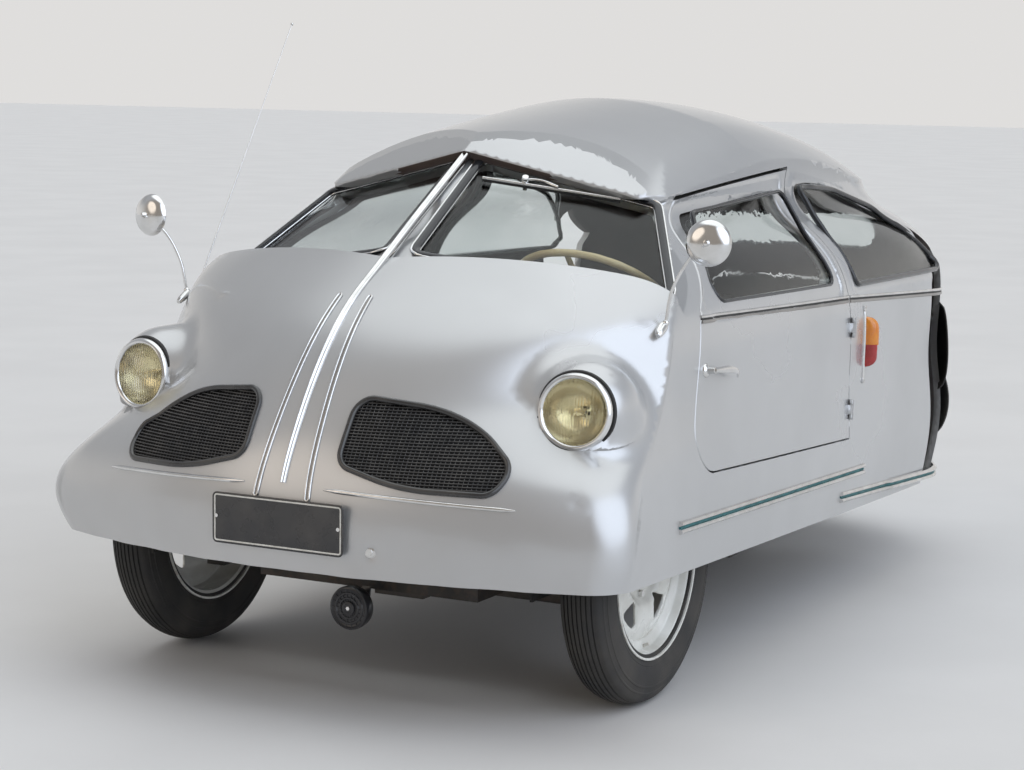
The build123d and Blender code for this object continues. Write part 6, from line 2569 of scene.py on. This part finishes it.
@dataclass
class Engine:
    """A small air-cooled engine on the rear carrier."""

    middle: tuple = (0.0, 1.415)
    half_wide: float = 0.146
    case_half: Pair = (0.128, 0.108)
    case_levels: tuple = (
        (0.02, 0.304), (0.006, 0.312), (0.0, 0.325), (0.0, 0.420), (0.006, 0.436), (0.022, 0.446),
    )
    barrel_x: float = -0.030
    barrel_half: float = 0.070
    barrel_z: float = 0.440
    barrel_height: float = 0.148
    fins: int = 11
    fin_rings: tuple = (
        (-0.018, 0.0), (-0.018, 0.007), (0.010, 0.0078), (0.012, 0.0092), (0.010, 0.0106), (-0.018, 0.0114),
    )
    head: tuple = (
        (0.0, 0.588), (0.052, 0.588), (0.056, 0.596), (0.050, 0.610), (0.020, 0.615), (0.0, 0.615),
    )
    cover_z: float = 0.374
    cover_inset: float = 0.020
    cover: tuple = (
        (0.0, 0.014), (0.045, 0.013), (0.072, 0.008), (0.080, 0.0), (0.080, -0.012), (0.0, -0.012),
    )
    pipe: tuple = (
        (-0.03, 1.330, 0.560), (-0.03, 1.302, 0.535), (-0.03, 1.303, 0.440), (-0.06, 1.310, 0.350),
    )
    bowl_place: tuple = (0.085, 1.445, 0.470)
    bowl: tuple = (
        (0.0, 0.0), (0.022, 0.002), (0.024, 0.010), (0.024, 0.040), (0.018, 0.050), (0.018, 0.072),
        (0.0, 0.074),
    )
    inlet: tuple = ((0.085, 1.445, 0.520), (0.040, 1.435, 0.525))

    def build(self) -> None:
        """Makes the case, the finned barrel, the head and what hangs on them."""
        iron, bright = Shape(), Shape()
        x, y = self.middle
        levels = [(-inset, z) for inset, z in self.case_levels]
        iron.loft(self.stack(x, self.case_half, 0.05, 0.02, levels))
        pitch = self.barrel_height / self.fins
        starts = [self.barrel_z + k * pitch for k in range(self.fins)]
        fins = [(out, z + up) for z in starts for out, up in self.fin_rings]
        iron.loft(self.stack(x + self.barrel_x, (self.barrel_half, self.barrel_half), 0.035, 0.012, fins))
        iron.turned(self.head, place(x + self.barrel_x, y, 0.0), (0, 0, 1), 40)
        for side in SIDES:
            spot = place(self.half_wide - self.cover_inset, y, self.cover_z, side)
            iron.turned(self.cover, spot, (side, 0, 0), 48)
        iron.piece("engine_castings", [ENGINE], "rear_unit", ["engine_block"], sharp=32.0)
        bright.tube(smooth_line([place(*spot) for spot in self.pipe], 16), 0.0140, 14)
        bright.turned(self.bowl, place(*self.bowl_place), (0, 0, 1), 32)
        bright.tube([place(*spot) for spot in self.inlet], 0.014, 14)
        bright.piece("engine_pipe_and_carburettor", [CHASSIS], "rear_unit")

    def stack(self, x: float, half: Pair, radius: float, pitch: float,
              levels: Sequence[Pair]) -> list[np.ndarray]:
        """Rings of one rounded outline at several heights.

        Args:
            x: Its middle across the car.
            half: Half its width and depth.
            radius: Its corners' radius.
            pitch: About how far apart its points are.
            levels: How far out it is grown, and its height, for each ring.

        Returns:
            The rings.
        """
        wide, deep = half
        corners = [(-wide, -deep), (wide, -deep), (wide, deep), (-wide, deep)]
        outline = rounded_loop(corners, [radius] * 4, pitch)
        rings = []
        for out, z in levels:
            rings.append(rows_of(place(x + a, self.middle[1] + b, z) for a, b in grown(outline, out)))
        return rings


def dress() -> None:
    """Gives each of the frame's nodes that stays in view its finish."""
    plan = {
        GLASS: ("windscreen_panes", "rear_window"),
        CABIN: ("dashboard",),
        UNDERSEAL: ("floor_pan",),
        TUBE_BLACK: ("roof_hoop", "steering_column"),
        CHASSIS: ("chassis_frame", "front_axle", "stub_axles", "rear_cradle"),
    }
    for finish, names in plan.items():
        for name in names:
            mesh = NODES[name].data
            mesh.materials.clear()
            mesh.materials.append(finish.material())
            LOG.info("%s dressed as %s", name, finish.name)


def main() -> None:
    """Builds every sub-assembly in order."""
    logging.basicConfig(level=logging.INFO, format="%(message)s")
    Studio().build()
    work = Bodywork()
    skin = work.build()
    NoseTrim().build(skin)
    Grilles().build(skin)
    Headlamps().build()
    Glazing().build(skin, work)
    SideTrim().build(skin)
    Fittings().build(skin)
    Wheels().build()
    Cabin().build()
    for pad in SEAT_PADS:
        pad.build()
    Engine().build()
    dress()
    bpy.context.scene.view_settings.view_transform = "Standard"


if __name__ == "__main__":
    main()
